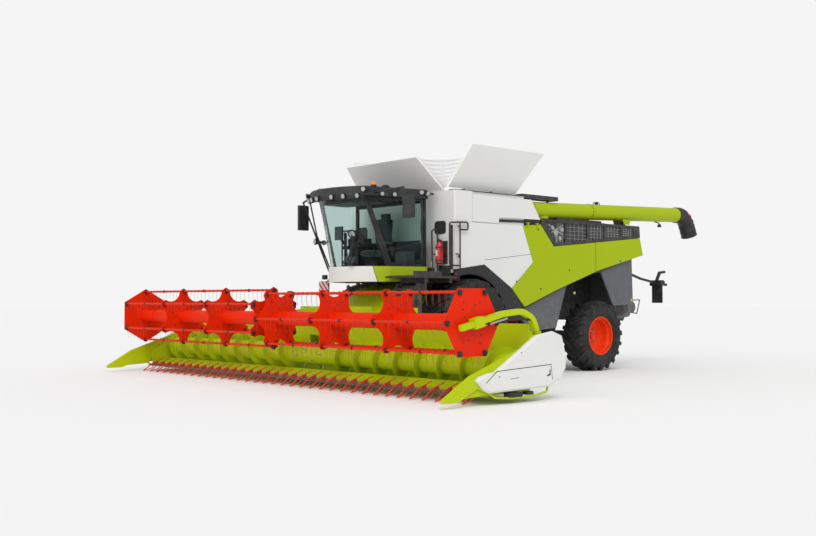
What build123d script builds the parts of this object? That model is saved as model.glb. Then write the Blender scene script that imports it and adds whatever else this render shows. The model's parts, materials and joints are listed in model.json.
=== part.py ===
"""Self-propelled combine harvester with a wide grain header, as an assembly of its subcomponents.

Millimetres. +X is the machine's left side, -Y is forward, +Z is up, and the ground is Z = 0.
Distances along the machine are given as "aft": millimetres behind the front axle line.
"""
import os
from math import atan2, cos, degrees, hypot, pi, radians, sin

from build123d import *

os.makedirs("parts", exist_ok=True)

# ---------------------------------------------------------------- driving dimensions
front_axle_y = -2002.0          # front axle line, so that the origin is under the middle of the machine
wheelbase = 4250.0              # front axle to rear axle
rear_overhang = 1610.0          # rear axle to the rear end of the body
body_half_width = 1680.0        # outer face of the side panels
panel_thickness = 40.0
fit_gap = 0.3                   # between faces that seat on each other across two bodies
run_gap = 6.0                   # between faces that pass each other

# front (driven) wheels
front_tyre_radius = 1030.0
front_tyre_width = 800.0
front_wheel_x = 1490.0          # centre plane of the tyre
front_rim_radius = 425.0
# rear (steered) wheels
rear_tyre_radius = 805.0
rear_tyre_width = 600.0
rear_wheel_x = 1450.0
rear_rim_radius = 420.0
kingpin_x = 1010.0
kingpin_radius = 35.0

# body levels
hull_half_width = 940.0         # threshing body between the front wheels
slim_half_width = 560.0         # body between the steered wheels
hull_bottom_z = 1240.0
tank_floor_z = 2280.0
panel_top_z = 3225.0            # seam between the lower and the upper side panels
deck_z = 3400.0                 # engine deck
tank_top_z = 3860.0
body_rear_aft = wheelbase + rear_overhang
bulkhead_front_aft = -430.0     # white housing behind the cab
bulkhead_rear_aft = 60.0
tank_rear_aft = 1680.0

# cab
cab_floor_z = 2150.0
cab_front_half_width = 900.0
cab_rear_half_width = 1120.0
cab_rear_aft = -700.0
cab_glass_top_z = 3690.0
cab_roof_top_z = 3880.0

# grain header
header_half_width = 5400.0      # outer face of the header's end walls
header_pivot_aft = -450.0       # hinge of the feeder house
header_pivot_z = 1800.0
feeder_half_width = 790.0
trunnion_radius = 45.0
auger_aft = -2680.0
auger_z = 560.0
auger_flight_radius = 325.0
auger_tube_radius = 205.0
auger_flight_pitch = 560.0
flight_plate = 10.0
reel_aft = -3600.0
reel_z = 1275.0
reel_bar_radius = 545.0         # circle on which the tine bars run
reel_half_length = header_half_width - 100
tine_bar_radius = 22.0
lifter_pitch = 305.0
lifter_count = int((2 * header_half_width - 120) // lifter_pitch)

# unloading auger
unload_tube_radius = 182.0
unload_pivot_x = body_half_width - 230
unload_pivot_aft = 2450.0
unload_lean = 2.0               # the swing axis leans towards the middle, degrees
unload_rise = 2.0               # the stowed tube rises towards the rear, degrees


# ---------------------------------------------------------------- helpers
def aft(distance):
    """Y of a point that lies this far behind the front axle line."""
    return front_axle_y + distance


def behind(distance):
    """Aft of a point that lies this far behind the rear axle line."""
    return wheelbase + distance


def side_prism(outline, x_low, x_high, mode=Mode.ADD):
    """Prism between two X stations from a side outline of (aft, height) points."""
    with BuildSketch(Plane.YZ.offset(x_low)) as profile:
        with BuildLine():
            Polyline(*[(aft(a), z) for a, z in outline], close=True)
        make_face()
    extrude(profile.sketch, amount=x_high - x_low, mode=mode)


def both_sides(outline, x_inner, x_outer, mode=Mode.ADD):
    """The same side prism on the left and on the right of the machine."""
    side_prism(outline, x_inner, x_outer, mode)
    side_prism(outline, -x_outer, -x_inner, mode)


def block(x, a, z, mode=Mode.ADD):
    """Box between pairs of X, aft and Z limits."""
    with Locations(((x[0] + x[1]) / 2, aft((a[0] + a[1]) / 2), (z[0] + z[1]) / 2)):
        Box(x[1] - x[0], a[1] - a[0], z[1] - z[0], mode=mode)


def cross_cylinder(radius, x, a, z, mode=Mode.ADD):
    """Cylinder along X between two X limits."""
    with Locations(Location(((x[0] + x[1]) / 2, aft(a), z), (0, 90, 0))):
        Cylinder(radius, abs(x[1] - x[0]), mode=mode)


def bar_between(start, end, width, height):
    """Rectangular bar between two (x, aft, z) points."""
    first = Vector(start[0], aft(start[1]), start[2])
    last = Vector(end[0], aft(end[1]), end[2])
    run = last - first
    with BuildSketch(Plane(first, x_dir=run.cross(Vector(0.01, 0.02, 1)), z_dir=run)) as section:
        Rectangle(width, height)
    extrude(section.sketch, amount=run.length)


def round_bar_between(start, end, radius):
    """Round bar between two (x, aft, z) points."""
    first = Vector(start[0], aft(start[1]), start[2])
    last = Vector(end[0], aft(end[1]), end[2])
    run = last - first
    with BuildSketch(Plane(first, z_dir=run)) as section:
        Circle(radius)
    extrude(section.sketch, amount=run.length)


def wheel_section(centre, side):
    """Plane of a wheel's section: local x is the radius, local y points away from the machine."""
    return Plane(centre, x_dir=(0, 0, 1), z_dir=(0, side, 0))


def save(part, name):
    part.label = name
    export_step(part, f"parts/{name}.step")


sides = {"left": 1, "right": -1}

# ---------------------------------------------------------------- wheels
# columns: axle name, tyre radius, tyre width, rim radius, centre x, aft, disc offset, hub radius
wheel_table = [
    ("front", front_tyre_radius, front_tyre_width, front_rim_radius, front_wheel_x, 0.0, -60.0, 190.0),
    ("rear", rear_tyre_radius, rear_tyre_width, rear_rim_radius, rear_wheel_x, wheelbase, -70.0, 130.0),
]
bead_inset = 62.0               # the bead stands this far inside the tyre's side
rim_plate = 24.0
rim_wall = 14.0
rim_flange = 24.0

for axle, tyre_r, tyre_w, rim_r, centre_x, wheel_aft, disc_offset, hub_r in wheel_table:
    for side_name, side in sides.items():
        centre = Vector(side * centre_x, aft(wheel_aft), tyre_r)
        plane = wheel_section(centre, side)
        half = tyre_w / 2
        bead = half - bead_inset
        shoulder = tyre_r * 0.055
        middle = (tyre_r + rim_r) / 2
        with BuildPart() as tyre:
            with BuildSketch(plane):
                with BuildLine():
                    Line((tyre_r, -half + shoulder * 2), (tyre_r, half - shoulder * 2))
                    ThreePointArc((tyre_r, half - shoulder * 2),
                                  (tyre_r - shoulder, half - shoulder * 0.45),
                                  (tyre_r - shoulder * 2.6, half))
                    ThreePointArc((tyre_r - shoulder * 2.6, half), (middle, half + 6), (rim_r + 36, bead))
                    Polyline((rim_r + 36, bead), (rim_r + fit_gap, bead), (rim_r + fit_gap, bead - 45),
                             (tyre_r - 105, bead - 45), (tyre_r - 105, 45 - bead),
                             (rim_r + fit_gap, 45 - bead), (rim_r + fit_gap, -bead), (rim_r + 36, -bead))
                    ThreePointArc((rim_r + 36, -bead), (middle, -half - 6),
                                  (tyre_r - shoulder * 2.6, -half))
                    ThreePointArc((tyre_r - shoulder * 2.6, -half),
                                  (tyre_r - shoulder, -half + shoulder * 0.45),
                                  (tyre_r, -half + shoulder * 2))
                make_face()
            revolve(axis=Axis(centre, (1, 0, 0)))
        save(tyre.part, f"{axle}_tyre_{side_name}")
        disc = disc_offset + rim_plate
        with BuildPart() as rim:
            with BuildSketch(plane):
                with BuildLine():
                    Polyline((rim_r, -bead), (rim_r, bead + fit_gap), (rim_r + rim_flange, bead + fit_gap),
                             (rim_r + rim_flange, bead + 12), (rim_r - rim_wall, bead + 12),
                             (rim_r - rim_wall, bead - 60), (rim_r - 50, bead - 90),
                             (rim_r - 70, disc + 60), (hub_r + 60, disc), (0, disc), (0, disc_offset),
                             (hub_r + 60, disc_offset), (rim_r - 70 - rim_wall, disc_offset + 50),
                             (rim_r - 50 - rim_wall, disc_offset - 20), (rim_r - 40, 90 - bead),
                             (rim_r - rim_wall, 60 - bead), (rim_r - rim_wall, -bead - 12),
                             (rim_r + rim_flange, -bead - 12), (rim_r + rim_flange, -bead - fit_gap),
                             (rim_r, -bead - fit_gap), close=True)
                make_face()
            revolve(axis=Axis(centre, (1, 0, 0)))
            # hub cap and its ring of ten nuts
            with BuildSketch(Plane(centre + Vector(side * disc, 0, 0), z_dir=(side, 0, 0))):
                Circle(hub_r * 0.55)
            extrude(amount=70)
        save(rim.part, f"{axle}_rim_{side_name}")

# ---------------------------------------------------------------- front axle and chassis
axle_tube_radius = 130.0
final_drive_radius = 250.0
front_z = front_tyre_radius
rear_z = rear_tyre_radius
front_disc_x = front_wheel_x - 60.0
lift_cylinder_x = 600.0
lift_base = (-120.0, 640.0)      # aft, height of the lift cylinders' lower pins
lift_eye = (-1500.0, 520.0)      # aft, height of the rod eyes under the feeder house
lift_pin_radius = 20.0
lug_inner = 60.0                 # from the cylinder's middle plane to the inner face of a lug
lug_plate = 24.0

with BuildPart() as front_axle:
    cross_cylinder(axle_tube_radius, (-hull_half_width - 20, hull_half_width + 20), 0, front_z)
    for side in sides.values():
        cross_cylinder(final_drive_radius, (side * (hull_half_width + 10), side * (hull_half_width + 250)),
                       0, front_z)
        cross_cylinder(175, (side * (hull_half_width + 240), side * (front_disc_x - fit_gap)), 0, front_z)
        block(sorted((side * 700, side * 860)), (-150, 150), (front_z, hull_bottom_z))
        # lugs of the lift cylinder
        for offset in (-lug_inner - lug_plate, lug_inner):
            x0 = side * lift_cylinder_x + offset
            side_prism([(-60, front_z), (100, front_z), (60, lift_base[1] + 40),
                        (lift_base[0] + 50, lift_base[1] - 60),
                        (lift_base[0] - 50, lift_base[1] - 60), (lift_base[0] - 50,
                                                                 lift_base[1] + 60)], x0, x0 + lug_plate)
        x0 = side * lift_cylinder_x
        cross_cylinder(lift_pin_radius + fit_gap, (x0 - 100, x0 + 100), *lift_base, Mode.SUBTRACT)
save(front_axle.part, "front_axle")

rail_x = (430.0, 540.0)
rail_z = (1165.0, hull_bottom_z)
rear_rail_end = behind(1100)
beam_half = 90.0
axle_beam_half_height = 100.0
hitch_aft = behind(1250)
hitch_pin_radius = 20.0

with BuildPart() as chassis_frame:
    for side in sides.values():
        block(sorted((side * rail_x[0], side * rail_x[1])), (-300, rear_rail_end), rail_z)
    for station in (250, 1500, behind(-1350), rear_rail_end - 100):
        block((-rail_x[0], rail_x[0]), (station, station + 100), rail_z)
    # bracket over the rear axle's centre pivot
    block((-200, 200), (wheelbase - 170, wheelbase + 170), (rear_z + axle_beam_half_height, rail_z[1]))
    block((-rail_x[0], rail_x[0]), (wheelbase - 170, wheelbase + 170), rail_z)
    # clevis for a towing pin
    block((-70, 70), (rear_rail_end - 1, rear_rail_end + 60), (950, rail_z[1]))
    for level in (950.0, 1050.0):
        block((-70, 70), (rear_rail_end, hitch_aft + 60), (level, level + 25))
    with Locations((0, aft(hitch_aft), 1000)):
        Cylinder(hitch_pin_radius, 300, mode=Mode.SUBTRACT)
save(chassis_frame.part, "chassis_frame")

# ---------------------------------------------------------------- rear axle and steering
rod_aft = wheelbase + 210.0
rod_radius = 24.0
fork_gap = run_gap
fork_plate = 44.0
steer_rod_z = rear_z - axle_beam_half_height - fork_gap - fork_plate - 12 - rod_radius
steer_barrel = (48.0, 260.0)     # radius, half length

with BuildPart() as rear_axle:
    block((-kingpin_x, kingpin_x), (wheelbase - beam_half, wheelbase + beam_half),
          (rear_z - axle_beam_half_height, rear_z + axle_beam_half_height))
    for side in sides.values():
        with Locations((side * kingpin_x, aft(wheelbase), rear_z)):
            Cylinder(beam_half, 2 * axle_beam_half_height)
    # steering cylinder, carried behind the beam
    block((-steer_barrel[1] + 40, steer_barrel[1] - 40), (wheelbase + beam_half - 1, rod_aft),
          (steer_rod_z - 20, steer_rod_z + 20))
    block((-steer_barrel[1] + 40, steer_barrel[1] - 40),
          (wheelbase + beam_half - 30, wheelbase + beam_half),
          (steer_rod_z - 20, rear_z))
    cross_cylinder(steer_barrel[0], (-steer_barrel[1], steer_barrel[1]), rod_aft, steer_rod_z)
    cross_cylinder(rod_radius + fit_gap, (-steer_barrel[1] - 5, steer_barrel[1] + 5), rod_aft, steer_rod_z,
                   Mode.SUBTRACT)
    for side in sides.values():
        with Locations((side * kingpin_x, aft(wheelbase), rear_z)):
            Cylinder(kingpin_radius + fit_gap, 3 * axle_beam_half_height, mode=Mode.SUBTRACT)
save(rear_axle.part, "rear_axle")

rear_disc_x = rear_wheel_x - 70.0
for side_name, side in sides.items():
    with BuildPart() as knuckle:
        with Locations((side * kingpin_x, aft(wheelbase), rear_z)):
            Cylinder(kingpin_radius, 2 * (axle_beam_half_height + fork_gap + fork_plate))
        for up in (1, -1):
            low = rear_z + up * (axle_beam_half_height + fork_gap)
            high = low + up * fork_plate
            with Locations((side * kingpin_x, aft(wheelbase), (low + high) / 2)):
                Cylinder(80, fork_plate)
            block(sorted((side * kingpin_x, side * (kingpin_x + 150))), (wheelbase - 80, wheelbase + 80),
                  sorted((low, high)))
        block(sorted((side * (kingpin_x + 115), side * (kingpin_x + 160))),
              (wheelbase - 80, wheelbase + 80),
              (rear_z - axle_beam_half_height - fork_gap - fork_plate,
               rear_z + axle_beam_half_height + fork_gap + fork_plate))
        # steering arm
        block(sorted((side * (kingpin_x - 30), side * (kingpin_x + 30))), (wheelbase + 40, rod_aft + 30),
              (rear_z - axle_beam_half_height - fork_gap - fork_plate,
               rear_z - axle_beam_half_height - fork_gap))
        cross_cylinder(65, (side * (kingpin_x + 150), side * (rear_disc_x - 90)), wheelbase, rear_z)
        cross_cylinder(120, (side * (rear_disc_x - 90), side * (rear_disc_x - fit_gap)), wheelbase, rear_z)
    save(knuckle.part, f"steering_knuckle_{side_name}")

with BuildPart() as steering_rod:
    cross_cylinder(rod_radius, (-kingpin_x, kingpin_x), rod_aft, steer_rod_z)
    for side in sides.values():
        with Locations((side * kingpin_x, aft(rod_aft), steer_rod_z)):
            Cylinder(38, 2 * rod_radius + 8)
save(steering_rod.part, "steering_rod")

# ---------------------------------------------------------------- body core
core_half = body_half_width - panel_thickness - fit_gap
core_bottom_z = 2262.0
core_wall = 60.0
hood_front_aft = tank_rear_aft + 20
core_rise_aft = wheelbase
hull_rear_aft = behind(-1090)
core_rear_aft = body_rear_aft - 80
core_rear_z = 2700.0
chopper_front = behind(1055)
chopper_half_width = 1240.0


def core_bottom(a):
    """Height of the body core's underside at a station."""
    if a <= core_rise_aft:
        return core_bottom_z
    slope = (core_rear_z - core_bottom_z) / (core_rear_aft - core_rise_aft)
    return core_bottom_z + (a - core_rise_aft) * slope


with BuildPart() as threshing_body:
    side_prism([(-380, core_bottom_z - 12), (-380, 1560), (-150, hull_bottom_z),
                (behind(-1550), hull_bottom_z),
                (hull_rear_aft, 1700), (hull_rear_aft,
                                        core_bottom_z - 12)], -hull_half_width, hull_half_width)
    # throat that the feeder house swings into, and the trunnions that carry it
    block((-feeder_half_width - run_gap, feeder_half_width + run_gap), (-381, -290), (1480, core_bottom_z),
          Mode.SUBTRACT)
    for side in sides.values():
        block(sorted((side * (feeder_half_width + run_gap), side * (feeder_half_width + 70))),
              (header_pivot_aft - 70, -379), (header_pivot_z - 80, header_pivot_z + 80))
        cross_cylinder(trunnion_radius, (side * (feeder_half_width - 90), side * (feeder_half_width + 60)),
                       header_pivot_aft, header_pivot_z)
    # straw outlet, slim enough to pass between the steered wheels
    straw_front = hull_rear_aft + fit_gap
    straw_rear = chopper_front - 5
    side_prism([(straw_front, core_bottom_z), (straw_front, hull_bottom_z), (behind(650), hull_bottom_z),
                (straw_rear, 1450), (straw_rear, core_bottom(straw_rear)), (core_rise_aft, core_bottom_z)],
               -slim_half_width, slim_half_width)
save(threshing_body.part, "threshing_body")

side_hinge = (body_half_width + 10, 3292.0)      # x and height of the side doors' swing axis
side_hinge_pin = 12.0
side_hinge_half = 60.0          # half the length of a pin
side_hinge_stations = (1760.0, 2060.0)
side_lug = (30.0, 55.0)         # near and far face of a lug, from the middle of its hinge
side_strap_half = 20.0

with BuildPart() as rear_body:
    side_prism([(hood_front_aft, core_bottom_z), (core_rise_aft, core_bottom_z),
                (core_rear_aft, core_rear_z),
                (core_rear_aft, deck_z), (hood_front_aft, deck_z)], -core_half, core_half)
    side_prism([(hood_front_aft + core_wall, core_bottom_z + core_wall),
                (core_rise_aft - 10, core_bottom_z + core_wall),
                (core_rear_aft - core_wall, core_rear_z + core_wall), (core_rear_aft - core_wall,
                                                                       deck_z - core_wall),
                (hood_front_aft + core_wall, deck_z - core_wall)],
               -core_half + core_wall, core_half - core_wall, Mode.SUBTRACT)
    # lugs that carry the side doors
    for side in sides.values():
        for station in side_hinge_stations:
            for end in (-1, 1):
                block(sorted((side * (core_half - 1), side * (side_hinge[0] + 16))),
                      sorted((station + end * side_lug[0], station + end * side_lug[1])),
                      (side_hinge[1] - 12, side_hinge[1] + 24))
            with Locations(Location((side * side_hinge[0], aft(station), side_hinge[1]), (90, 0, 0))):
                Cylinder(side_hinge_pin + fit_gap, 2 * side_hinge_half + 2, mode=Mode.SUBTRACT)
save(rear_body.part, "rear_body")

with BuildPart() as engine_block:
    block((-520, 520), (behind(-1500), behind(-50)), (core_bottom_z + core_wall, 3150))
save(engine_block.part, "engine_block")

with BuildPart() as straw_chopper:
    neck_rear = chopper_front + 255
    side_prism([(chopper_front, 1850), (chopper_front, 1290), (behind(1390), 1190), (behind(1710), 1230),
                (behind(1840), 1400), (behind(1810), 1600), (behind(1650), 1760), (neck_rear, 2000),
                (neck_rear, core_bottom(neck_rear)), (chopper_front, core_bottom(chopper_front))],
               -chopper_half_width, chopper_half_width)
save(straw_chopper.part, "straw_chopper")

with BuildPart() as rear_hood:
    side_prism([(core_rear_aft, core_rear_z), (body_rear_aft + 70, 2715), (body_rear_aft - 40, 3130),
                (body_rear_aft - 60, deck_z), (core_rear_aft, deck_z)], -core_half, core_half)
save(rear_hood.part, "rear_hood")

front_lid_half = body_half_width - 380
rear_lid_half = 455.0            # narrow enough to stand between the side lids when they are folded
end_hinge_z = tank_top_z + 30
end_barrel = 12.0
front_hinge_aft = bulkhead_front_aft + 60
rear_hinge_aft = tank_rear_aft - 22

with BuildPart() as front_bulkhead:
    block((-core_half, core_half), (bulkhead_front_aft, bulkhead_rear_aft), (core_bottom_z, panel_top_z))
    block((-body_half_width, body_half_width), (bulkhead_front_aft, bulkhead_rear_aft),
          (panel_top_z, tank_top_z))
    upright = front_bulkhead.edges().filter_by(Axis.Z).group_by(Axis.Y)[0]
    fillet(upright, 35)
    for side in sides.values():
        # apron ahead of the mudguard
        block(sorted((side * (hull_half_width + 10), side * (core_half - 40))),
              (bulkhead_front_aft, bulkhead_front_aft + 90),
              (2180, core_bottom_z + 1))
    # rail under the hinge of the front tank lid
    block((-front_lid_half, front_lid_half), (front_hinge_aft - 20, front_hinge_aft + 20),
          (tank_top_z, end_hinge_z - end_barrel - fit_gap))
save(front_bulkhead.part, "front_bulkhead")

tank_wall = 50.0
hopper_top_z = 2960.0
hopper_floor_width = 700.0
lid_hinge_x = body_half_width - 230
lid_thickness = 26.0
lid_hinge_z = tank_top_z + 70
lid_barrel = 15.0

with BuildPart() as grain_tank:
    block((-core_half, core_half), (bulkhead_rear_aft, tank_rear_aft), (tank_floor_z, tank_top_z))
    block((-core_half + tank_wall, core_half - tank_wall),
          (bulkhead_rear_aft + tank_wall, tank_rear_aft - tank_wall),
          (hopper_top_z, tank_top_z - tank_wall), Mode.SUBTRACT)
    block((-lid_hinge_x + 40, lid_hinge_x - 40), (bulkhead_rear_aft + tank_wall, tank_rear_aft - tank_wall),
          (tank_top_z - tank_wall - 1, tank_top_z + 1), Mode.SUBTRACT)
    # hopper floor slopes down to the middle
    with BuildSketch(Plane.XY.offset(hopper_top_z)) as hopper_top:
        with Locations((0, aft((bulkhead_rear_aft + tank_rear_aft) / 2))):
            Rectangle(2 * (core_half - tank_wall), tank_rear_aft - bulkhead_rear_aft - 2 * tank_wall)
    with BuildSketch(Plane.XY.offset(tank_floor_z + 60)) as hopper_floor:
        with Locations((0, aft((bulkhead_rear_aft + tank_rear_aft) / 2))):
            Rectangle(hopper_floor_width, tank_rear_aft - bulkhead_rear_aft - 2 * tank_wall)
    loft([hopper_top.sketch, hopper_floor.sketch], mode=Mode.SUBTRACT)
    # rails that carry the lid hinges
    for side in sides.values():
        block(sorted((side * (lid_hinge_x - 25), side * (lid_hinge_x + 25))),
              (bulkhead_rear_aft, tank_rear_aft - 80), (tank_top_z, lid_hinge_z - lid_barrel - fit_gap))
    block((-rear_lid_half, rear_lid_half), (rear_hinge_aft - 20, rear_hinge_aft + 20),
          (tank_top_z, end_hinge_z - end_barrel - fit_gap))
save(grain_tank.part, "grain_tank")
print("body core done")

# ---------------------------------------------------------------- side panels, doors and grilles
seam = 8.0
panel_x = (body_half_width - panel_thickness, body_half_width)

with BuildPart() as white_panels:
    both_sides([(bulkhead_front_aft, 3222), (1595, 3222), (1925, 2450), (1245, 1885), (420, 2365),
                (bulkhead_front_aft, 2250)], *panel_x)
    both_sides([(bulkhead_rear_aft + seam, 3240), (850, 3240), (870, 3362), (2175, 3380), (1880, 3800),
                (bulkhead_rear_aft + seam, 3790)], *panel_x)
save(white_panels.part, "white_panels")

door_outline = [(1605, 3222), (2165, 3280), (2190, 3280), (2630, 2812), (body_rear_aft - 45, 3122),
                (body_rear_aft + 75, 2715), (wheelbase, 2325), (2650, 1830), (1665, 1480), (1252,
                                                                                            1880), (1935,
                                                                                                    2450)]
for side_name, side in sides.items():
    with BuildPart() as door:
        side_prism(door_outline, *sorted((side * panel_x[0], side * panel_x[1])))
        outer = door.faces().sort_by(Axis.X)[-1 if side > 0 else 0]
        chamfer(outer.edges(), 6)
        # straps and pins of the hinges
        for station in side_hinge_stations:
            block(sorted((side * (body_half_width - 12), side * (side_hinge[0] + side_hinge_pin))),
                  (station - side_strap_half, station + side_strap_half),
                  (3200, side_hinge[1] + side_hinge_pin))
            with Locations(Location((side * side_hinge[0], aft(station), side_hinge[1]), (90, 0, 0))):
                Cylinder(side_hinge_pin, 2 * side_hinge_half)
    save(door.part, f"side_door_{side_name}")

grille_outline = [(2205, deck_z + 10), (2200, 3290), (2632, 2822), (body_rear_aft - 42, 3132),
                  (body_rear_aft - 66, deck_z + 10)]
grille_frame = 60.0
grille_slope = 310 / 3186        # rise of the grilles' lower edge
grille_depth = 28.0
# columns: front of the window at its top, at its bottom, rear of the window
grille_windows = [(2290, 2700, 3010), (3060, 3060, 3790), (3850, 3850, 4420), (4480, 4480, 5060),
                  (5110, 5110, 5560)]
with BuildPart() as side_grilles:
    both_sides(grille_outline, *panel_x)
    for top_front, low_front, rear in grille_windows:
        low_z = 2822 + grille_frame + (low_front - 2632) * grille_slope
        rear_low_z = 2822 + grille_frame + (rear - 2632) * grille_slope
        both_sides([(top_front, deck_z - 50), (low_front, low_z), (rear, rear_low_z), (rear, deck_z - 50)],
                   panel_x[1] - grille_depth, panel_x[1] + 1, Mode.SUBTRACT)
save(side_grilles.part, "side_grilles")

guard_x = (body_half_width - 120, body_half_width - 80)
bracket = 60.0
# columns: inner end of the bracket, aft, height
guard_brackets = [(hull_half_width, 1960, 1300), (hull_half_width, 2600, 1500),
                  (chopper_half_width, behind(1130), 1600)]
with BuildPart() as lower_panels:
    both_sides([(1700, 1440), (2650, 1790), (3140, 1950), (2780, 1010), (1960, 960), (1660, 1200)],
               *guard_x)
    rear_guard = (behind(135), behind(1330))
    both_sides([(rear_guard[0], core_bottom(rear_guard[0]) - fit_gap), (behind(600), 1500),
                (behind(1375), 1530),
                (rear_guard[1], core_bottom(rear_guard[1]) - fit_gap)], *guard_x)
    for side in sides.values():
        for inner_x, station, level in guard_brackets:
            block(sorted((side * (inner_x + fit_gap), side * guard_x[0])), (station, station + bracket),
                  (level, level + bracket))
save(lower_panels.part, "lower_panels")

arch_radius = front_tyre_radius + 95
arch_outer_x = body_half_width + 6
arch_window = [(bulkhead_front_aft, 3000), (1400, 3000), (1400, 1330), (bulkhead_front_aft, 1330)]
arch_plate = [(bulkhead_front_aft, 2242), (415, 2355), (1240, 1876), (1500, 1560), (1800, 1330),
              (1640, 1200),
              (900, 1180), (bulkhead_front_aft, 1180)]
with BuildPart() as front_mudguards:
    for side in sides.values():
        arch_start = hull_half_width + 2 if side > 0 else -arch_outer_x
        with BuildSketch(Plane.YZ.offset(arch_start)) as arch:
            with BuildLine():
                Polyline(*[(aft(a), z) for a, z in arch_window], close=True)
            make_face()
            with Locations((aft(0), front_z)):
                Circle(arch_radius + 22, mode=Mode.INTERSECT)
                Circle(arch_radius, mode=Mode.SUBTRACT)
        extrude(arch.sketch, amount=arch_outer_x - hull_half_width - 2)
        plate_start = panel_x[0] + 5 if side > 0 else -arch_outer_x
        with BuildSketch(Plane.YZ.offset(plate_start)) as plate:
            with BuildLine():
                Polyline(*[(aft(a), z) for a, z in arch_plate], close=True)
            make_face()
            with Locations((aft(0), front_z)):
                Circle(arch_radius, mode=Mode.SUBTRACT)
        extrude(plate.sketch, amount=panel_thickness + 1)
save(front_mudguards.part, "front_mudguards")

# ---------------------------------------------------------------- grain tank lids
side_lid_open = 62.0             # from flat, degrees
side_lid_width = 975.0
end_lid_width = 880.0
end_lid_open = 47.0
for side_name, side in sides.items():
    tilt = radians(side_lid_open)
    origin = (side * lid_hinge_x, 0, lid_hinge_z)
    lid_plane = Plane(origin, x_dir=(0, 1, 0), z_dir=(sin(tilt), 0, -side * cos(tilt)))
    with BuildPart() as lid:
        with BuildSketch(lid_plane):
            with BuildLine():
                Polyline((aft(-420), 10), (aft(1600), 10), (aft(2010), side_lid_width),
                         (aft(-170), side_lid_width), close=True)
            make_face()
        extrude(amount=side * lid_thickness)
        hinge_run = (bulkhead_rear_aft, tank_rear_aft - 80)
        with Locations(Location((side * lid_hinge_x, aft(sum(hinge_run) / 2), lid_hinge_z), (90, 0, 0))):
            Cylinder(lid_barrel, hinge_run[1] - hinge_run[0])
    save(lid.part, f"tank_lid_{side_name}")

# columns: name, aft of the hinge, way it faces, half width at the hinge, taper of each side
end_lids = [("front", front_hinge_aft, -1, front_lid_half, 170),
            ("rear", rear_hinge_aft, 1, rear_lid_half, 60)]
for name, hinge_aft, facing, half, taper in end_lids:
    tilt = radians(end_lid_open)
    lid_plane = Plane((0, aft(hinge_aft), end_hinge_z), x_dir=(1, 0, 0),
                      z_dir=(0, -sin(tilt), facing * cos(tilt)))
    with BuildPart() as lid:
        with BuildSketch(lid_plane):
            with BuildLine():
                Polyline((-half, 10), (half, 10), (half - taper, end_lid_width),
                         (taper - half, end_lid_width),
                         close=True)
            make_face()
        extrude(amount=-facing * lid_thickness)
        cross_cylinder(end_barrel, (-half, half), hinge_aft, end_hinge_z)
    save(lid.part, f"tank_lid_{name}")
print("panels done")

# ---------------------------------------------------------------- cab
cab_screen_low = (-1500.0, -2040.0)      # aft of the windscreen's ends and middle, at its foot
cab_screen_high = (-1980.0, -2360.0)     # the same at its top
screen_foot_z = 2310.0
door_line_aft = -760.0                   # hinge line of the cab door
toe_in = atan2(cab_rear_half_width - cab_front_half_width, door_line_aft - cab_screen_low[0])
side_run_low = hypot(cab_rear_half_width - cab_front_half_width, door_line_aft - cab_screen_low[0])
side_run_high = (door_line_aft - cab_screen_high[0]) / cos(toe_in)
screen_top_half_width = cab_rear_half_width - side_run_high * sin(toe_in)
glass = 12.0


def screen_plan(half_width, ends_aft, middle_aft, z, grow=0.0):
    """Plan of the bowed front, closed straight across its ends."""
    with BuildSketch(Plane.XY.offset(z)) as plan:
        with BuildLine():
            ThreePointArc((half_width + grow, aft(ends_aft)), (0, aft(middle_aft) - grow),
                          (-half_width - grow, aft(ends_aft)))
            Line((-half_width - grow, aft(ends_aft)), (half_width + grow, aft(ends_aft)))
        make_face()
    return plan.sketch


def cab_plan(z, grow=0.0, rear_aft=cab_rear_aft):
    """Plan of the whole cab at its floor."""
    with BuildSketch(Plane.XY.offset(z)) as plan:
        with BuildLine():
            ThreePointArc((cab_front_half_width + grow, aft(cab_screen_low[0])),
                          (0, aft(cab_screen_low[1]) - grow),
                          (-cab_front_half_width - grow, aft(cab_screen_low[0])))
            front_x = cab_front_half_width + grow
            rear_x = cab_rear_half_width + grow
            Polyline((-front_x, aft(cab_screen_low[0])), (-rear_x, aft(door_line_aft)),
                     (-rear_x, aft(rear_aft)),
                     (rear_x, aft(rear_aft)), (rear_x, aft(door_line_aft)), (front_x,
                                                                             aft(cab_screen_low[0])))
        make_face()
    return plan.sketch


cab_base_z = (1995.0, 2290.0)
with BuildPart() as cab_base:
    extrude(cab_plan(cab_base_z[0], -45, bulkhead_front_aft - fit_gap),
            amount=cab_base_z[1] - cab_base_z[0])
save(cab_base.part, "cab_base")

skirt_top_z = screen_foot_z - run_gap
with BuildPart() as cab_skirt:
    extrude(cab_plan(cab_base_z[0], 30), amount=skirt_top_z - cab_base_z[0])
    extrude(cab_plan(cab_base_z[0] - 1, fit_gap - 45, bulkhead_front_aft),
            amount=skirt_top_z - cab_base_z[0] + 2, mode=Mode.SUBTRACT)
    # nothing behind the hinge line of the door
    block((-cab_rear_half_width - 60, cab_rear_half_width + 60), (cab_rear_aft - 1, bulkhead_front_aft),
          (cab_base_z[0] - 2, skirt_top_z + 2), Mode.SUBTRACT)
save(cab_skirt.part, "cab_skirt")


def side_plane(side, depth=0.0):
    """Vertical plane of a cab side: local x runs forward from the door's hinge line, local y is height."""
    run = Vector(-side * sin(toe_in), -cos(toe_in), 0)
    inward = Vector(-side * cos(toe_in), sin(toe_in), 0)
    origin = Vector(side * cab_rear_half_width, aft(door_line_aft), 0) + inward * depth
    return Plane(origin, x_dir=run, z_dir=inward if side > 0 else -inward)


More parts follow.
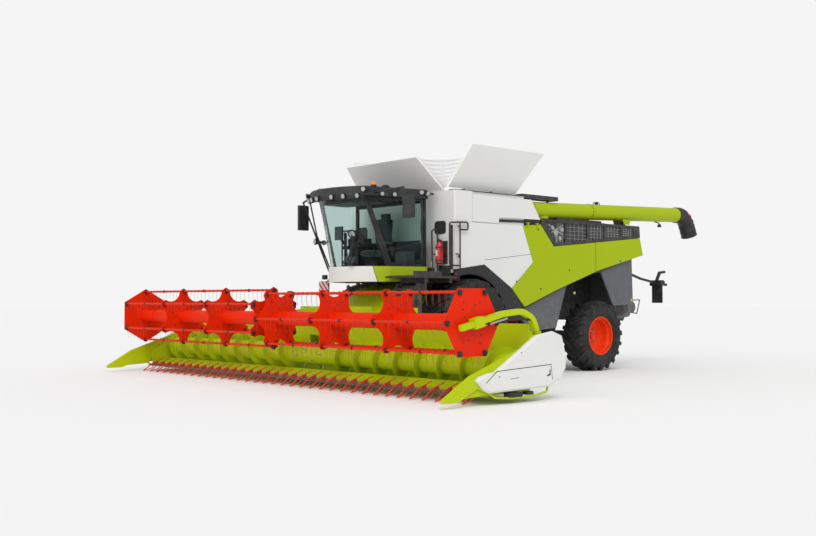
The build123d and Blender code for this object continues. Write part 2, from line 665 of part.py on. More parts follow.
def side_quad(low, high, z_low, z_high):
    """Outline in a side plane between two runs of (rear, front) positions at two heights."""
    return [(low[0], z_low), (low[1], z_low), (high[1], z_high), (high[0], z_high)]


def run_at(z):
    """Distance of the door's front edge ahead of its hinge line, at a height."""
    share = (z - screen_foot_z) / (cab_glass_top_z - screen_foot_z)
    return side_run_low + (side_run_high - side_run_low) * share


def side_plate(side, outline, depth, thickness, cut=None, mode=Mode.ADD):
    with BuildSketch(side_plane(side, depth)) as plate:
        with BuildLine():
            Polyline(*outline, close=True)
        make_face()
        if cut:
            with BuildLine():
                Polyline(*cut, close=True)
            make_face(mode=Mode.SUBTRACT)
    extrude(plate.sketch, amount=thickness if side > 0 else -thickness, mode=mode)


pillar_depth = 60.0
door_pin = (cab_rear_half_width + 12, door_line_aft)   # x and aft of the cab door's hinge pins
door_pin_radius = 8.0
door_barrel = (14.0, 55.0)      # radius and half length
hinge_levels = (2450.0, 3350.0)
door_low_z = screen_foot_z + 6
door_high_z = cab_glass_top_z - 8
door_frame = 46.0
door_thickness = 34.0

with BuildPart() as cab_frame:
    for side in sides.values():
        side_plate(side, side_quad((run_at(screen_foot_z) + 2, run_at(screen_foot_z) + 56),
                                   (run_at(cab_glass_top_z) + 2, run_at(cab_glass_top_z) + 56),
                                   screen_foot_z, cab_glass_top_z), 0, pillar_depth)
        # foot on the cab's base, behind the door's lower edge
        foot_run = (side_run_low - 60, side_run_low + 20)
        side_plate(side, side_quad(foot_run, foot_run, cab_base_z[1], screen_foot_z + 30), 50,
                   pillar_depth - 50)
        post_x = (cab_rear_half_width - 90, cab_rear_half_width - 5)
        block(sorted((side * post_x[0], side * post_x[1])), (door_line_aft + 15, cab_rear_aft),
              (screen_foot_z, cab_glass_top_z))
        block(sorted((side * post_x[0], side * (cab_rear_half_width - 47))),
              (door_line_aft + 15, cab_rear_aft),
              (cab_base_z[1], screen_foot_z + 1))
    for level in hinge_levels:
        # pin and lugs of the cab door
        with Locations((door_pin[0], aft(door_pin[1]), level)):
            Cylinder(door_pin_radius, 2 * door_barrel[1] + 30)
        for z in (level - door_barrel[1] - fit_gap - 20, level + door_barrel[1] + fit_gap):
            block((door_pin[0] - 32, door_pin[0] + 14), (door_pin[1] - 14, door_pin[1] + 16), (z, z + 20))
    # rear wall below and above its window
    rear_window_x = cab_rear_half_width - 90
    rear_window_z = (2850.0, cab_glass_top_z - 80)
    for low, high in ((cab_base_z[1], rear_window_z[0]), (rear_window_z[1], cab_glass_top_z)):
        block((-rear_window_x, rear_window_x), (cab_rear_aft - 45, cab_rear_aft), (low, high))
save(cab_frame.part, "cab_frame")

roof_z = (cab_glass_top_z, cab_roof_top_z)
roof_front_x = cab_front_half_width
roof_rear_x = cab_rear_half_width + 30
with BuildPart() as cab_roof:
    with BuildSketch(Plane.XY.offset(roof_z[0])) as roof_plan:
        with BuildLine():
            ThreePointArc((roof_front_x, aft(-2150)), (0, aft(-2440)), (-roof_front_x, aft(-2150)))
            Polyline((-roof_front_x, aft(-2150)), (-roof_rear_x, aft(-800)), (-roof_rear_x, aft(-650)),
                     (roof_rear_x, aft(-650)), (roof_rear_x, aft(-800)), (roof_front_x, aft(-2150)))
        make_face()
        fillet(roof_plan.vertices().group_by(Axis.Y)[-1], 60)
    extrude(amount=roof_z[1] - roof_z[0])
    fillet(cab_roof.faces().sort_by(Axis.Z)[-1].edges(), 45)
save(cab_roof.part, "cab_roof")

with BuildPart() as cab_windows:
    low_x = cab_front_half_width - 62
    high_x = screen_top_half_width - 62
    glass_top_z = cab_glass_top_z - fit_gap
    loft([screen_plan(low_x, cab_screen_low[0] - 18, cab_screen_low[1], screen_foot_z),
          screen_plan(high_x, cab_screen_high[0] - 18, cab_screen_high[1], glass_top_z)], ruled=True)
    loft([screen_plan(low_x - 6, cab_screen_low[0] + 20, cab_screen_low[1] + glass, screen_foot_z),
          screen_plan(high_x - 6, cab_screen_high[0] + 20, cab_screen_high[1] + glass, glass_top_z)],
         ruled=True, mode=Mode.SUBTRACT)
    for side in sides.values():
        # the screen's ends stop at the front pillars
        side_plate(side, side_quad((run_at(screen_foot_z) - 60, run_at(screen_foot_z) + 56 + fit_gap),
                                   (run_at(cab_glass_top_z) - 60, run_at(cab_glass_top_z) + 56 + fit_gap),
                                   screen_foot_z - 20, cab_glass_top_z + 1),
                   -20, pillar_depth + 20 + fit_gap, mode=Mode.SUBTRACT)
    # fixed window on the right, where the left side has its door, and the rear window
    side_plate(-1, side_quad((2, run_at(door_low_z) - 2), (2, run_at(door_high_z) - 2), door_low_z,
                             glass_top_z),
               10, glass)
    block((fit_gap - rear_window_x, rear_window_x - fit_gap),
          (cab_rear_aft - 30, cab_rear_aft - 30 + glass),
          (rear_window_z[0] + fit_gap, rear_window_z[1] - fit_gap))
save(cab_windows.part, "cab_windows")


def door_quad(inset):
    """Outline of the cab door in its side plane, drawn in by an inset."""
    rear = 20 + inset
    return side_quad((rear, run_at(door_low_z) - 8 - inset), (rear, run_at(door_high_z) - 8 - inset),
                     door_low_z + inset, door_high_z - inset)


with BuildPart() as cab_door:
    side_plate(1, door_quad(0), 4, door_thickness, door_quad(door_frame))
    # hinge barrels on the rear post
    for level in hinge_levels:
        with Locations((door_pin[0], aft(door_pin[1]), level)):
            Cylinder(door_barrel[0], 2 * door_barrel[1])
        side_plate(1, [(0, level - 40), (40, level - 40), (40, level + 40), (0, level + 40)], -10, 30)
        with Locations((door_pin[0], aft(door_pin[1]), level)):
            Cylinder(door_pin_radius + fit_gap, 2 * door_barrel[1] + 2, mode=Mode.SUBTRACT)
save(cab_door.part, "cab_door")

with BuildPart() as cab_door_glass:
    side_plate(1, door_quad(door_frame + fit_gap), 14, glass)
save(cab_door_glass.part, "cab_door_glass")

with BuildPart() as operator_chair:
    block((-210, 210), (-1270, -900), (cab_base_z[1], 2480))
    block((-260, 260), (-1370, -860), (2480, 2640))
    side_prism([(-990, 2600), (-860, 2600), (-790, 3330), (-890, 3350)], -240, 240)
    for side in sides.values():
        block(sorted((side * 270, side * 350)), (-1330, -900), (2770, 2830))
        block(sorted((side * 240, side * 290)), (-980, -920), (2600, 2800))
save(operator_chair.part, "operator_chair")

with BuildPart() as driver_controls:
    # steering column on its pedal box, and the wheel
    side_prism([(-1860, cab_base_z[1]), (-1720, cab_base_z[1]), (-1600, 2890), (-1690, 2930)], -50, 50)
    block((-180, 180), (-1840, -1700), (cab_base_z[1], cab_base_z[1] + 60))
    wheel_plane = Plane((0, aft(-1625), 2935), z_dir=(0, 0.62, 0.78))
    with BuildSketch(Plane(wheel_plane.origin + wheel_plane.x_dir * 195, x_dir=wheel_plane.x_dir,
                           z_dir=wheel_plane.y_dir)):
        Circle(15)
    revolve(axis=Axis(wheel_plane.origin, wheel_plane.z_dir))
    for angle in (90, 210, 330):
        with BuildSketch(wheel_plane) as spoke:
            with Locations((100 * cos(radians(angle)), 100 * sin(radians(angle)))):
                Rectangle(195, 30, rotation=angle)
        extrude(spoke.sketch, amount=6, both=True)
    with BuildSketch(wheel_plane) as hub:
        Circle(34)
    extrude(hub.sketch, amount=16)
    extrude(hub.sketch, amount=-60)
    # console at the driver's right hand, with its lever and screen
    block((-560, -370), (-1560, -820), (2690, 2760))
    block((-520, -400), (-1250, -1000), (cab_base_z[1], 2690))
    bar_between((-465, -1500, 2725), (-465, -1715, 2960), 40, 40)
    side_prism([(-1735, 2880), (-1700, 2880), (-1700, 3160), (-1735, 3160)], -590, -340)
save(driver_controls.part, "driver_controls")
print("cab done")

# ---------------------------------------------------------------- platform, ladder and rails
platform_z = (2060.0, 2100.0)
platform_x = (cab_rear_half_width + 36, body_half_width + 120)
platform_aft = (-1660.0, bulkhead_front_aft - 10)
beam_z = (1970.0, platform_z[0])
rail_radius = 17.0
ladder_pin = (platform_x[1] - 30, -1330.0)       # x and aft of the ladder's swing axis
ladder_pin_radius = 18.0
ladder_z = (480.0, 1950.0)
barrel_z = (1760.0, 1950.0)          # ends of the ladder's hinge barrel


def rail_run(x, path, radius=rail_radius, bend=55.0):
    """Bent round rail in a plane of constant X, through (aft, height) points."""
    points = [(aft(a), z) for a, z in path]
    with BuildLine(Plane.YZ.offset(x)) as centre_line:
        if len(points) > 2:
            FilletPolyline(*points, radius=bend)
        else:
            Line(*points)
    with BuildSketch(Plane(centre_line.line @ 0, x_dir=(1, 0, 0), z_dir=centre_line.line % 0)) as section:
        Circle(radius)
    sweep(section.sketch, path=centre_line.line)


with BuildPart() as access_platform:
    with BuildSketch(Plane.XY.offset(platform_z[0])):
        with BuildLine():
            Polyline((platform_x[0], aft(platform_aft[1])), (platform_x[1], aft(platform_aft[1])),
                     (platform_x[1], aft(platform_aft[0])), (960, aft(platform_aft[0])), (960, aft(-1420)),
                     (platform_x[0], aft(-740)), close=True)
        make_face()
    extrude(amount=platform_z[1] - platform_z[0])
    # beams from the cab's base, and a bracket on the bulkhead
    block((cab_rear_half_width - 45 + fit_gap, platform_x[1] - 60), (-640, -560), beam_z)
    block((1013.6, platform_x[1] - 60), (-1300, -1220), beam_z)
    block((1220, body_half_width - 120), (platform_aft[1], bulkhead_front_aft - fit_gap),
          (platform_z[0], 2330))
    # kick plate
    block((platform_x[1] - 12, platform_x[1]), (platform_aft[0], -900), (platform_z[1], platform_z[1] + 90))
    # grab rail between the door and the bulkhead
    grab_x = 1240.0
    rail_run(grab_x, [(-500, platform_z[1] - 1), (-500, 3060), (-660, 3060), (-640, platform_z[1] - 1)])
    rail_run(grab_x, [(-645, 2560), (-500, 2560)], rail_radius - 4)
    # swing pin of the ladder
    with Locations((ladder_pin[0], aft(ladder_pin[1]), (platform_z[0] + 1730) / 2)):
        Cylinder(ladder_pin_radius, platform_z[0] - 1730)
    with Locations((ladder_pin[0], aft(ladder_pin[1]), 1742)):
        Cylinder(34, 24)
    # rails beside the bulkhead, on both sides of the machine
    for side in sides.values():
        x = side * (body_half_width + 60)
        rail_run(x, [(-345, 2320), (-640, 2320), (-640, 3180), (-120, 3210), (-120, 3050), (-345, 3050)])
        rail_run(x, [(-345, 2262), (-345, 3190)], rail_radius - 2)
        for z in (2500, 3120):
            round_bar_between((side * (body_half_width + fit_gap), -345, z), (x, -345, z), rail_radius - 5)
save(access_platform.part, "access_platform")

with BuildPart() as access_ladder:
    px, pa = ladder_pin
    with Locations((px, aft(pa), (barrel_z[0] + barrel_z[1]) / 2)):
        Cylinder(ladder_pin_radius + 14, barrel_z[1] - barrel_z[0])
    block((px - 40, px), (pa - 90, pa), (1770, 1940))
    with Locations((px, aft(pa), (barrel_z[0] + barrel_z[1]) / 2)):
        Cylinder(ladder_pin_radius + fit_gap, barrel_z[1] - barrel_z[0] + 50, mode=Mode.SUBTRACT)
    for x in (px - 620, px - 30):
        block((x - 16, x + 16), (pa - 205, pa - 75), ladder_z)
    for step in range(6):
        z = ladder_z[0] + 20 + step * 265
        block((px - 640, px - 10), (pa - 205, pa - 40), (z, z + 32))
    block((px - 640, px - 16), (pa - 92, pa - 60), (1820, 1900))
save(access_ladder.part, "access_ladder")

# ---------------------------------------------------------------- mirrors, lamp carriers, deck
mirror_root = (946.3, -1900.0, 3760.0)           # on the roof's left side
mirror_head_x = (2000.0, 2280.0)
mirror_head_z = (3170.0, 3600.0)
roof_side = hypot(roof_rear_x - roof_front_x, 1350)
mirror_reach = 1080.0
mirror_tip = (mirror_root[0] + mirror_reach * 1350 / roof_side,
              mirror_root[1] - mirror_reach * (roof_rear_x - roof_front_x) / roof_side, mirror_root[2])
with BuildPart() as mirrors:
    # left: on an arm that keeps the head outside the sweep of the cab door
    round_bar_between(mirror_root, mirror_tip, 20)
    round_bar_between((mirror_tip[0] - 10, mirror_tip[1], mirror_tip[2]),
                      (mirror_tip[0] - 10, mirror_tip[1], mirror_head_z[0] + 40), 16)
    block(mirror_head_x, (mirror_tip[1] - 30, mirror_tip[1] + 40), mirror_head_z)
    # right: a tube bent down from the roof to the cab's base
    round_bar_between((-917.6, -2100, 3780), (-1330, -2010, 3700), 20)
    round_bar_between((-1330, -2010, 3700), (-1010, -1560, 2240), 18)
    round_bar_between((-1010, -1560, 2240), (-942.7, -1500, 2180), 18)
    block((-1365, -1295), (-2130, -1890), (3110, 3640))
save(mirrors.part, "mirrors")

hanger_aft = behind(1465)
carrier_x = 1330.0
# columns: start and end as (aft of the hanger, height), width of the bar
carrier_bars = [((5, 2307), (635, 2150), 50), ((615, 2156), (1245, 2062), 50),
                ((1275, 2120), (1405, 2330), 60),
                ((1385, 2320), (1615, 2345), 60)]
# columns: half width, low and high corners as (aft of the hanger, height)
carrier_blocks = [(170, (1215, 1990), (1345, 2130)), (150, (1285, 1560), (1315, 2010)),
                  (100, (1325, 2010), (1485, 2110))]
with BuildPart() as tail_lamp_carriers:
    for side in sides.values():
        x = side * carrier_x
        block((x - 25, x + 25), (hanger_aft, hanger_aft + 50), (2265, core_bottom(hanger_aft) - fit_gap))
        for first, second, width in carrier_bars:
            bar_between((x, hanger_aft + first[0], first[1]), (x, hanger_aft + second[0], second[1]), width,
                        width)
        for half_width, low, high in carrier_blocks:
            block((x - half_width, x + half_width), (hanger_aft + low[0], hanger_aft + high[0]),
                  (low[1], high[1]))
save(tail_lamp_carriers.part, "tail_lamp_carriers")

tube_start_aft = 2070.0
tube_end_aft = 7755.0
tube_wall = 12.0
tube_clearance = 22.0            # between the deck and the front end of the tube
tube_rest = (behind(1030), behind(1170))
rest_gap = 22.0
rise = radians(unload_rise)
lean = radians(unload_lean)


def tube_z(a):
    """Height of the unloading tube's centre line at a station."""
    return deck_z + tube_clearance + unload_tube_radius + (a - tube_start_aft) * sin(rise) / cos(rise)


swing_axis = Vector(-sin(lean), 0, cos(lean))
swing_centre = Vector(unload_pivot_x, aft(unload_pivot_aft), tube_z(unload_pivot_aft))
collar_drop = unload_tube_radius + 14
collar_radius = 165.0

with BuildPart() as engine_deck:
    block((-1150, 920), (2050, behind(1050)), (deck_z, deck_z + 150))
    block((920, core_half), (2800, behind(250)), (deck_z, deck_z + 22))
    block((140 - core_half, -900), (2300, behind(50)), (deck_z, deck_z + 260))
    # turret under the unloading auger
    with BuildSketch(Plane(swing_centre - swing_axis * collar_drop, z_dir=-swing_axis)):
        Circle(collar_radius)
    extrude(amount=60)
    block((1000, core_half), (2200, 2700), (deck_z - 100, deck_z), Mode.SUBTRACT)
    # rest for the stowed tube
    rest_top_z = tube_z(sum(tube_rest) / 2) - unload_tube_radius - rest_gap
    block((unload_pivot_x - 90, unload_pivot_x + 90), tube_rest, (deck_z, rest_top_z))
save(engine_deck.part, "engine_deck")

with BuildPart() as unloading_tube:
    start = Vector(unload_pivot_x, aft(tube_start_aft), tube_z(tube_start_aft))
    end = Vector(unload_pivot_x, aft(tube_end_aft), tube_z(tube_end_aft))
    with BuildSketch(Plane(start, x_dir=(1, 0, 0), z_dir=end - start)):
        Circle(unload_tube_radius)
        Circle(unload_tube_radius - tube_wall, mode=Mode.SUBTRACT)
    extrude(amount=(end - start).length)
    with BuildSketch(Plane(start, x_dir=(1, 0, 0), z_dir=end - start)):
        Circle(unload_tube_radius)
    extrude(amount=20)
    # collar that turns on the turret
    with BuildSketch(Plane(swing_centre - swing_axis * (collar_drop - fit_gap), z_dir=swing_axis)):
        Circle(collar_radius)
    extrude(amount=60)
    # shoe on the rest
    block((unload_pivot_x - 80, unload_pivot_x + 80), (tube_rest[0] + 20, tube_rest[1] - 20),
          (rest_top_z + run_gap, rest_top_z + rest_gap + 30))
    inner = Plane(start, x_dir=(1, 0, 0), z_dir=end - start)
    with BuildSketch(inner.offset(40)):
        Circle(unload_tube_radius - tube_wall)
    extrude(amount=(end - start).length - 30, mode=Mode.SUBTRACT)
save(unloading_tube.part, "unloading_tube")

spout_bend = 68.0
spout_radius = 420.0
spout_outer = unload_tube_radius + 18
with BuildPart() as unloading_spout:
    along = (end - start).normalized()
    down = Vector(0, along.Z, -along.Y)
    bend_centre = end + down * spout_radius
    with BuildSketch(Plane(end, x_dir=(1, 0, 0), z_dir=along)) as ring:
        Circle(spout_outer)
        Circle(unload_tube_radius + fit_gap, mode=Mode.SUBTRACT)
    extrude(ring.sketch, amount=-120)
    revolve(ring.sketch, axis=Axis(bend_centre, (1, 0, 0)), revolution_arc=-spout_bend)
    turn = radians(spout_bend)
    mouth_way = along * cos(turn) + down * sin(turn)
    mouth_start = bend_centre - down * (spout_radius * cos(turn)) + along * (spout_radius * sin(turn))
    with BuildSketch(Plane(mouth_start, x_dir=(1, 0, 0), z_dir=mouth_way)) as mouth:
        Circle(spout_outer)
        Circle(unload_tube_radius + fit_gap, mode=Mode.SUBTRACT)
    extrude(mouth.sketch, amount=290)
save(unloading_spout.part, "unloading_spout")
print("auger done")

# ---------------------------------------------------------------- feeder house and its lift cylinders
header_rear_aft = -2040.0
with BuildPart() as feeder_house:
    side_prism([(-390, 1930), (-392, 1620), (-640, 1330), (header_rear_aft + 30, 330),
                (header_rear_aft + 30, 1010),
                (-1000, 1835), (-520, 1955)], -feeder_half_width, feeder_half_width)
    side_prism([(header_rear_aft, 420), (header_rear_aft + 330, 500), (-900, 1400), (-1000, 1700),
                (header_rear_aft, 930)],
               40 - feeder_half_width, feeder_half_width - 40, Mode.SUBTRACT)
    for side in sides.values():
        cross_cylinder(trunnion_radius + fit_gap,
                       (side * (feeder_half_width - 90 - fit_gap), side * (feeder_half_width + 1)),
                       header_pivot_aft, header_pivot_z, Mode.SUBTRACT)
    # frame that takes the header
    block((-980, 980), (header_rear_aft + fit_gap, header_rear_aft + 70), (290, 1120))
    block((-feeder_half_width + 60, feeder_half_width - 60), (header_rear_aft - 1, header_rear_aft + 71),
          (430, 930), Mode.SUBTRACT)
    for side in sides.values():
        # lug over the lift cylinder's rod eye
        x0 = side * lift_cylinder_x
        block((x0 - 60, x0 + 60), (lift_eye[0] - 90, lift_eye[0] + 90), (lift_eye[1] + 48, 760))
save(feeder_house.part, "feeder_house")

lift_run = Vector(0, lift_eye[0] - lift_base[0], lift_eye[1] - lift_base[1])
lift_length = lift_run.length
barrel_length = 860.0
lift_rod_radius = 32.0
lift_barrel_radius = 56.0


def on_lift(distance, x):
    """Point of a lift cylinder's axis at a distance from its lower pin."""
    point = lift_run.normalized() * distance
    return (x, lift_base[0] + point.Y, lift_base[1] + point.Z)


with BuildPart() as lift_barrels:
    for side in sides.values():
        x = side * lift_cylinder_x
        round_bar_between(on_lift(45, x), on_lift(barrel_length, x), lift_barrel_radius)
        cross_cylinder(48, (x - lug_inner + 8, x + lug_inner - 8), *lift_base)
        cross_cylinder(lift_pin_radius, (x - lug_inner - lug_plate, x + lug_inner + lug_plate), *lift_base)
        first = Vector(x, aft(on_lift(100, x)[1]), on_lift(100, x)[2])
        with BuildSketch(Plane(first, z_dir=lift_run)) as bore:
            Circle(lift_rod_radius + fit_gap)
        extrude(bore.sketch, amount=barrel_length, mode=Mode.SUBTRACT)
save(lift_barrels.part, "lift_barrels")

with BuildPart() as lift_rods:
    for side in sides.values():
        x = side * lift_cylinder_x
        round_bar_between(on_lift(140, x), on_lift(lift_length, x), lift_rod_radius)
        cross_cylinder(42, (x - 30, x + 30), *lift_eye)
save(lift_rods.part, "lift_rods")

# ---------------------------------------------------------------- header
wall = 14.0
trough_radius = auger_flight_radius + 30
back_wall_aft = auger_aft + trough_radius
back_wall_top = 1235.0
knife_aft = -3330.0
knife_z = 150.0
bar_top = knife_z - 12
feed_half = 640.0
reel_pivot = (-2230.0, 1085.0)
arm_half = 45.0
arm_pin_radius = 18.0
arm_x = header_half_width + 10      # centre of the outer reel arms
feed_mouth_z = (440.0, 920.0)


def arm_lug(x, base):
    """Plate that takes one end of a reel arm's pivot pin, standing on a base height."""
    side_prism([(reel_pivot[0] - 60, base), (reel_pivot[0] - 40, reel_pivot[1] + 40),
                (reel_pivot[0] + 40, reel_pivot[1] + 40), (reel_pivot[0] + 55, base)], x - 7, x + 7)


with BuildPart() as header_frame:
    # trough, table and back wall as one bent sheet
    lip = radians(38)
    lip_point = (auger_aft - trough_radius * sin(lip), auger_z - trough_radius * cos(lip))
    with BuildSketch(Plane.YZ.offset(-header_half_width)) as sheet:
        with BuildLine():
            Line((aft(back_wall_aft), back_wall_top), (aft(back_wall_aft), auger_z))
            ThreePointArc((aft(back_wall_aft), auger_z),
                          (aft(auger_aft), auger_z - trough_radius), (aft(lip_point[0]), lip_point[1]))
            Polyline((aft(lip_point[0]), lip_point[1]), (aft(knife_aft), knife_z),
                     (aft(knife_aft), knife_z - wall),
                     (aft(lip_point[0] + 4), lip_point[1] - wall - 4))
            ThreePointArc((aft(lip_point[0] + 4), lip_point[1] - wall - 4),
                          (aft(auger_aft), auger_z - trough_radius - wall),
                          (aft(back_wall_aft + wall), auger_z))
            Polyline((aft(back_wall_aft + wall), auger_z), (aft(back_wall_aft + wall), back_wall_top),
                     (aft(back_wall_aft), back_wall_top))
        make_face()
    extrude(sheet.sketch, amount=2 * header_half_width)
    # end walls
    end_wall = [(knife_aft - 30, knife_z - wall), (knife_aft - 60, 420), (-2900, 760), (-2560, 900),
                (-2330, 1010),
                (-2190, 1010), (-2190, 300), (-2450, 180), (-2900, 150)]
    side_prism(end_wall, header_half_width - wall, header_half_width)
    side_prism(end_wall, -header_half_width, wall - header_half_width)
    # notches for the reel arms
    for x in (-arm_x, 0, arm_x):
        block((x - arm_half - 12, x + arm_half + 12), (back_wall_aft - 2, back_wall_aft + wall + 2),
              (back_wall_top - 110, back_wall_top + 1), Mode.SUBTRACT)
    # mouth of the feeder house
    block((-feed_half, feed_half), (back_wall_aft - 50, back_wall_aft + 100), feed_mouth_z, Mode.SUBTRACT)
    # outer lugs of the outer reel arms
    for side in sides.values():
        block(sorted((side * (header_half_width - 40), side * (header_half_width + 67))), (-2300, -2160),
              (930, 990))
        arm_lug(side * (arm_x + arm_half + 15), 960)
        cross_cylinder(arm_pin_radius + fit_gap, sorted((side * arm_x, side * (arm_x + arm_half + 40))),
                       *reel_pivot, Mode.SUBTRACT)
    # knife bar along the table's front edge
    block((-header_half_width + 20, header_half_width - 20), (knife_aft - 90, knife_aft + 1),
          (bar_top - 23, bar_top))
save(header_frame.part, "header_frame")

sheet_rear_aft = back_wall_aft + wall
with BuildPart() as header_back_frame:
    # beams behind the sheet
    block((wall - header_half_width, header_half_width - wall), (sheet_rear_aft, header_rear_aft - 60),
          (240, 400))
    block((40 - header_half_width, header_half_width - 40), (sheet_rear_aft, -2170), (880, 990))
    block((wall - header_half_width, header_half_width - wall), (sheet_rear_aft, sheet_rear_aft + 46),
          (back_wall_top - 40, back_wall_top))
    for x in (-arm_x, 0, arm_x):
        block((x - arm_half - 12, x + arm_half + 12), (sheet_rear_aft - 1, sheet_rear_aft + 47),
              (back_wall_top - 41, back_wall_top + 1), Mode.SUBTRACT)
    # coupling frame in front of the feeder house
    for side in sides.values():
        block(sorted((side * 900, side * 1000)), (sheet_rear_aft, header_rear_aft), (260, 1500))
        block(sorted((side * 2300, side * 2380)), (sheet_rear_aft, header_rear_aft - 40), (240, 1480))
    block((-1000, 1000), (-2120, header_rear_aft), (1130, 1500))
    block((-feed_half, feed_half), (sheet_rear_aft - 1, sheet_rear_aft + 86), feed_mouth_z, Mode.SUBTRACT)
    # lugs of the middle reel arm, and the inner lugs of the outer ones
    for side in sides.values():
        arm_lug(side * (arm_half + 15), 900)
        arm_lug(side * (arm_x - arm_half - 15), 900)
        cross_cylinder(arm_pin_radius + fit_gap, sorted((side * (arm_x - arm_half - 40), side * arm_x)),
                       *reel_pivot, Mode.SUBTRACT)
    cross_cylinder(arm_pin_radius + fit_gap, (-arm_half - 40, arm_half + 40), *reel_pivot, Mode.SUBTRACT)
save(header_back_frame.part, "header_back_frame")

with BuildPart() as intake_auger:
    cross_cylinder(auger_tube_radius, (-header_half_width + wall + 30, header_half_width - wall - 30),
                   auger_aft, auger_z)
    cross_cylinder(40, (-header_half_width + wall + fit_gap, header_half_width - wall - fit_gap), auger_aft,
                   auger_z)
    for side in sides.values():
        # flights of opposite hand carry the crop to the middle
        with BuildLine() as run:
            Helix(pitch=auger_flight_pitch, height=header_half_width - wall - 60 - feed_half,
                  radius=(auger_tube_radius + auger_flight_radius) / 2 - 5,
                  center=(side * feed_half, aft(auger_aft), auger_z), direction=(side, 0,
                                                                                 0), lefthand=(side > 0))
        start = run.line @ 0
        radial = Vector(0, start.Y - aft(auger_aft), start.Z - auger_z)
        with BuildSketch(Plane(start, x_dir=radial, z_dir=run.line % 0)) as section:
            Rectangle(auger_flight_radius - auger_tube_radius + 10, flight_plate)
        sweep(section.sketch, path=run.line, is_frenet=True)
save(intake_auger.part, "intake_auger")

lifter_outline = [(knife_aft - 375, 8), (knife_aft - 380, 20), (knife_aft - 150, knife_z + 36),
                  (knife_aft + 130, knife_z + 136), (knife_aft + 134, knife_z + 124),
                  (knife_aft - fit_gap, knife_z + 76), (knife_aft - fit_gap, bar_top + fit_gap),
                  (knife_aft - 93, bar_top + fit_gap), (knife_aft - 93, knife_z - 32),
                  (knife_aft - 170, 60), (knife_aft - 270, 24)]
lifter_opening = [(knife_aft - 325, 36), (knife_aft - 152, knife_z + 12), (knife_aft - 106, knife_z + 30),
                  (knife_aft - 106, knife_z - 24), (knife_aft - 176, 71), (knife_aft - 274, 36)]
with BuildPart() as crop_lifters:
    for i in range(lifter_count):
        x = (i - (lifter_count - 1) / 2) * lifter_pitch
        side_prism(lifter_outline, x - 9, x + 9)
        side_prism(lifter_opening, x - 10, x + 10, Mode.SUBTRACT)
save(crop_lifters.part, "crop_lifters")

cover_x = (header_half_width + 134 + fit_gap, header_half_width + 200)
with BuildPart() as header_end_covers:
    both_sides([(-3795, 400), (-3600, 235), (-3480, 195), (-2140, 225), (-1850, 335), (-1700, 500),
                (-1700, 740),
                (-1790, 1040), (-2020, 1118), (-2410, 1062), (-3380, 515), (-3540, 500), (-3710,
                                                                                          455)], *cover_x)
    for side, pick in ((1, -1), (-1, 0)):
        outer = header_end_covers.faces().sort_by(Axis.X)[pick]
        chamfer(outer.edges(), 30)
save(header_end_covers.part, "header_end_covers")

with BuildPart() as crop_dividers:
    spar_top = [(-4450, 92), (-4440, 132), (-3870, 460), (-3640, 538), (-3280, 655), (-2920, 775),
                (-2700, 850),
                (-2410, 1055), (-2345, 1055), (-2345, 960), (-2700, 690), (-3200, 420), (-3440, 165)]
    both_sides(spar_top + [(-3960, 135), (-4100, 92)], header_half_width + 70, header_half_width + 94)
    both_sides(spar_top + [(-3560, 215), (-3730, 275), (-4120, 92)], header_half_width + 94,
               header_half_width + 134)
    for side in sides.values():
        for a, z in ((-2760, 750), (-3300, 420)):
            cross_cylinder(25, (side * (header_half_width + fit_gap), side * (header_half_width + 75)), a,
                           z)
save(crop_dividers.part, "crop_dividers")

# ---------------------------------------------------------------- reel arms, slides and reel
arm_slope = Vector(0, 810, 190).normalized()          # the straight front of an arm, running back and up


def arm_point(a):
    """Height of the straight part of a reel arm at a station; it passes through the reel's axis."""
    return reel_z + (a - reel_aft) * arm_slope.Z / arm_slope.Y


# columns: aft, height of the arm's centre line
arm_path = [reel_pivot, (-2330, 1330), (-2600, 1445), (-3060, arm_point(-3060)), (-3950, arm_point(-3950))]
with BuildPart() as reel_arms:
    for x in (-arm_x, 0, arm_x):
        points = [(aft(a), z) for a, z in arm_path]
        with BuildLine(Plane.YZ.offset(x)) as arm_line:
            FilletPolyline(*points, radius=[280, 280, 160])
        with BuildSketch(Plane(arm_line.line @ 0, x_dir=(1, 0, 0), z_dir=arm_line.line % 0)) as section:
            Rectangle(2 * arm_half, 2 * arm_half)
        sweep(section.sketch, path=arm_line.line)
        cross_cylinder(arm_half, (x - arm_half, x + arm_half), *reel_pivot)
        cross_cylinder(arm_pin_radius, (x - arm_half - 26, x + arm_half + 26), *reel_pivot)
save(reel_arms.part, "reel_arms")

slide_half = 100.0
slide_side = arm_half + 22      # from an arm's middle plane to the outside of its slide
stub_radius = 36.0
with BuildPart() as reel_slides:
    for x in (-arm_x, 0, arm_x):
        centre = Vector(x, aft(reel_aft), reel_z)
        with BuildSketch(Plane(centre - arm_slope * slide_half, x_dir=(1, 0, 0),
                               z_dir=arm_slope)) as block_section:
            Rectangle(2 * slide_side, 2 * arm_half + 70)
            Rectangle(2 * arm_half + 2 * fit_gap, 2 * arm_half + 2 * fit_gap, mode=Mode.SUBTRACT)
        extrude(block_section.sketch, amount=2 * slide_half)
save(reel_slides.part, "reel_slides")

reel_tube_radius = 135.0
spider_plate = 12.0
disc_radius = 610.0
centre_gap = 88.0                # from the middle of the machine to the inner end of each reel half
bays = 3
bar_count = 6


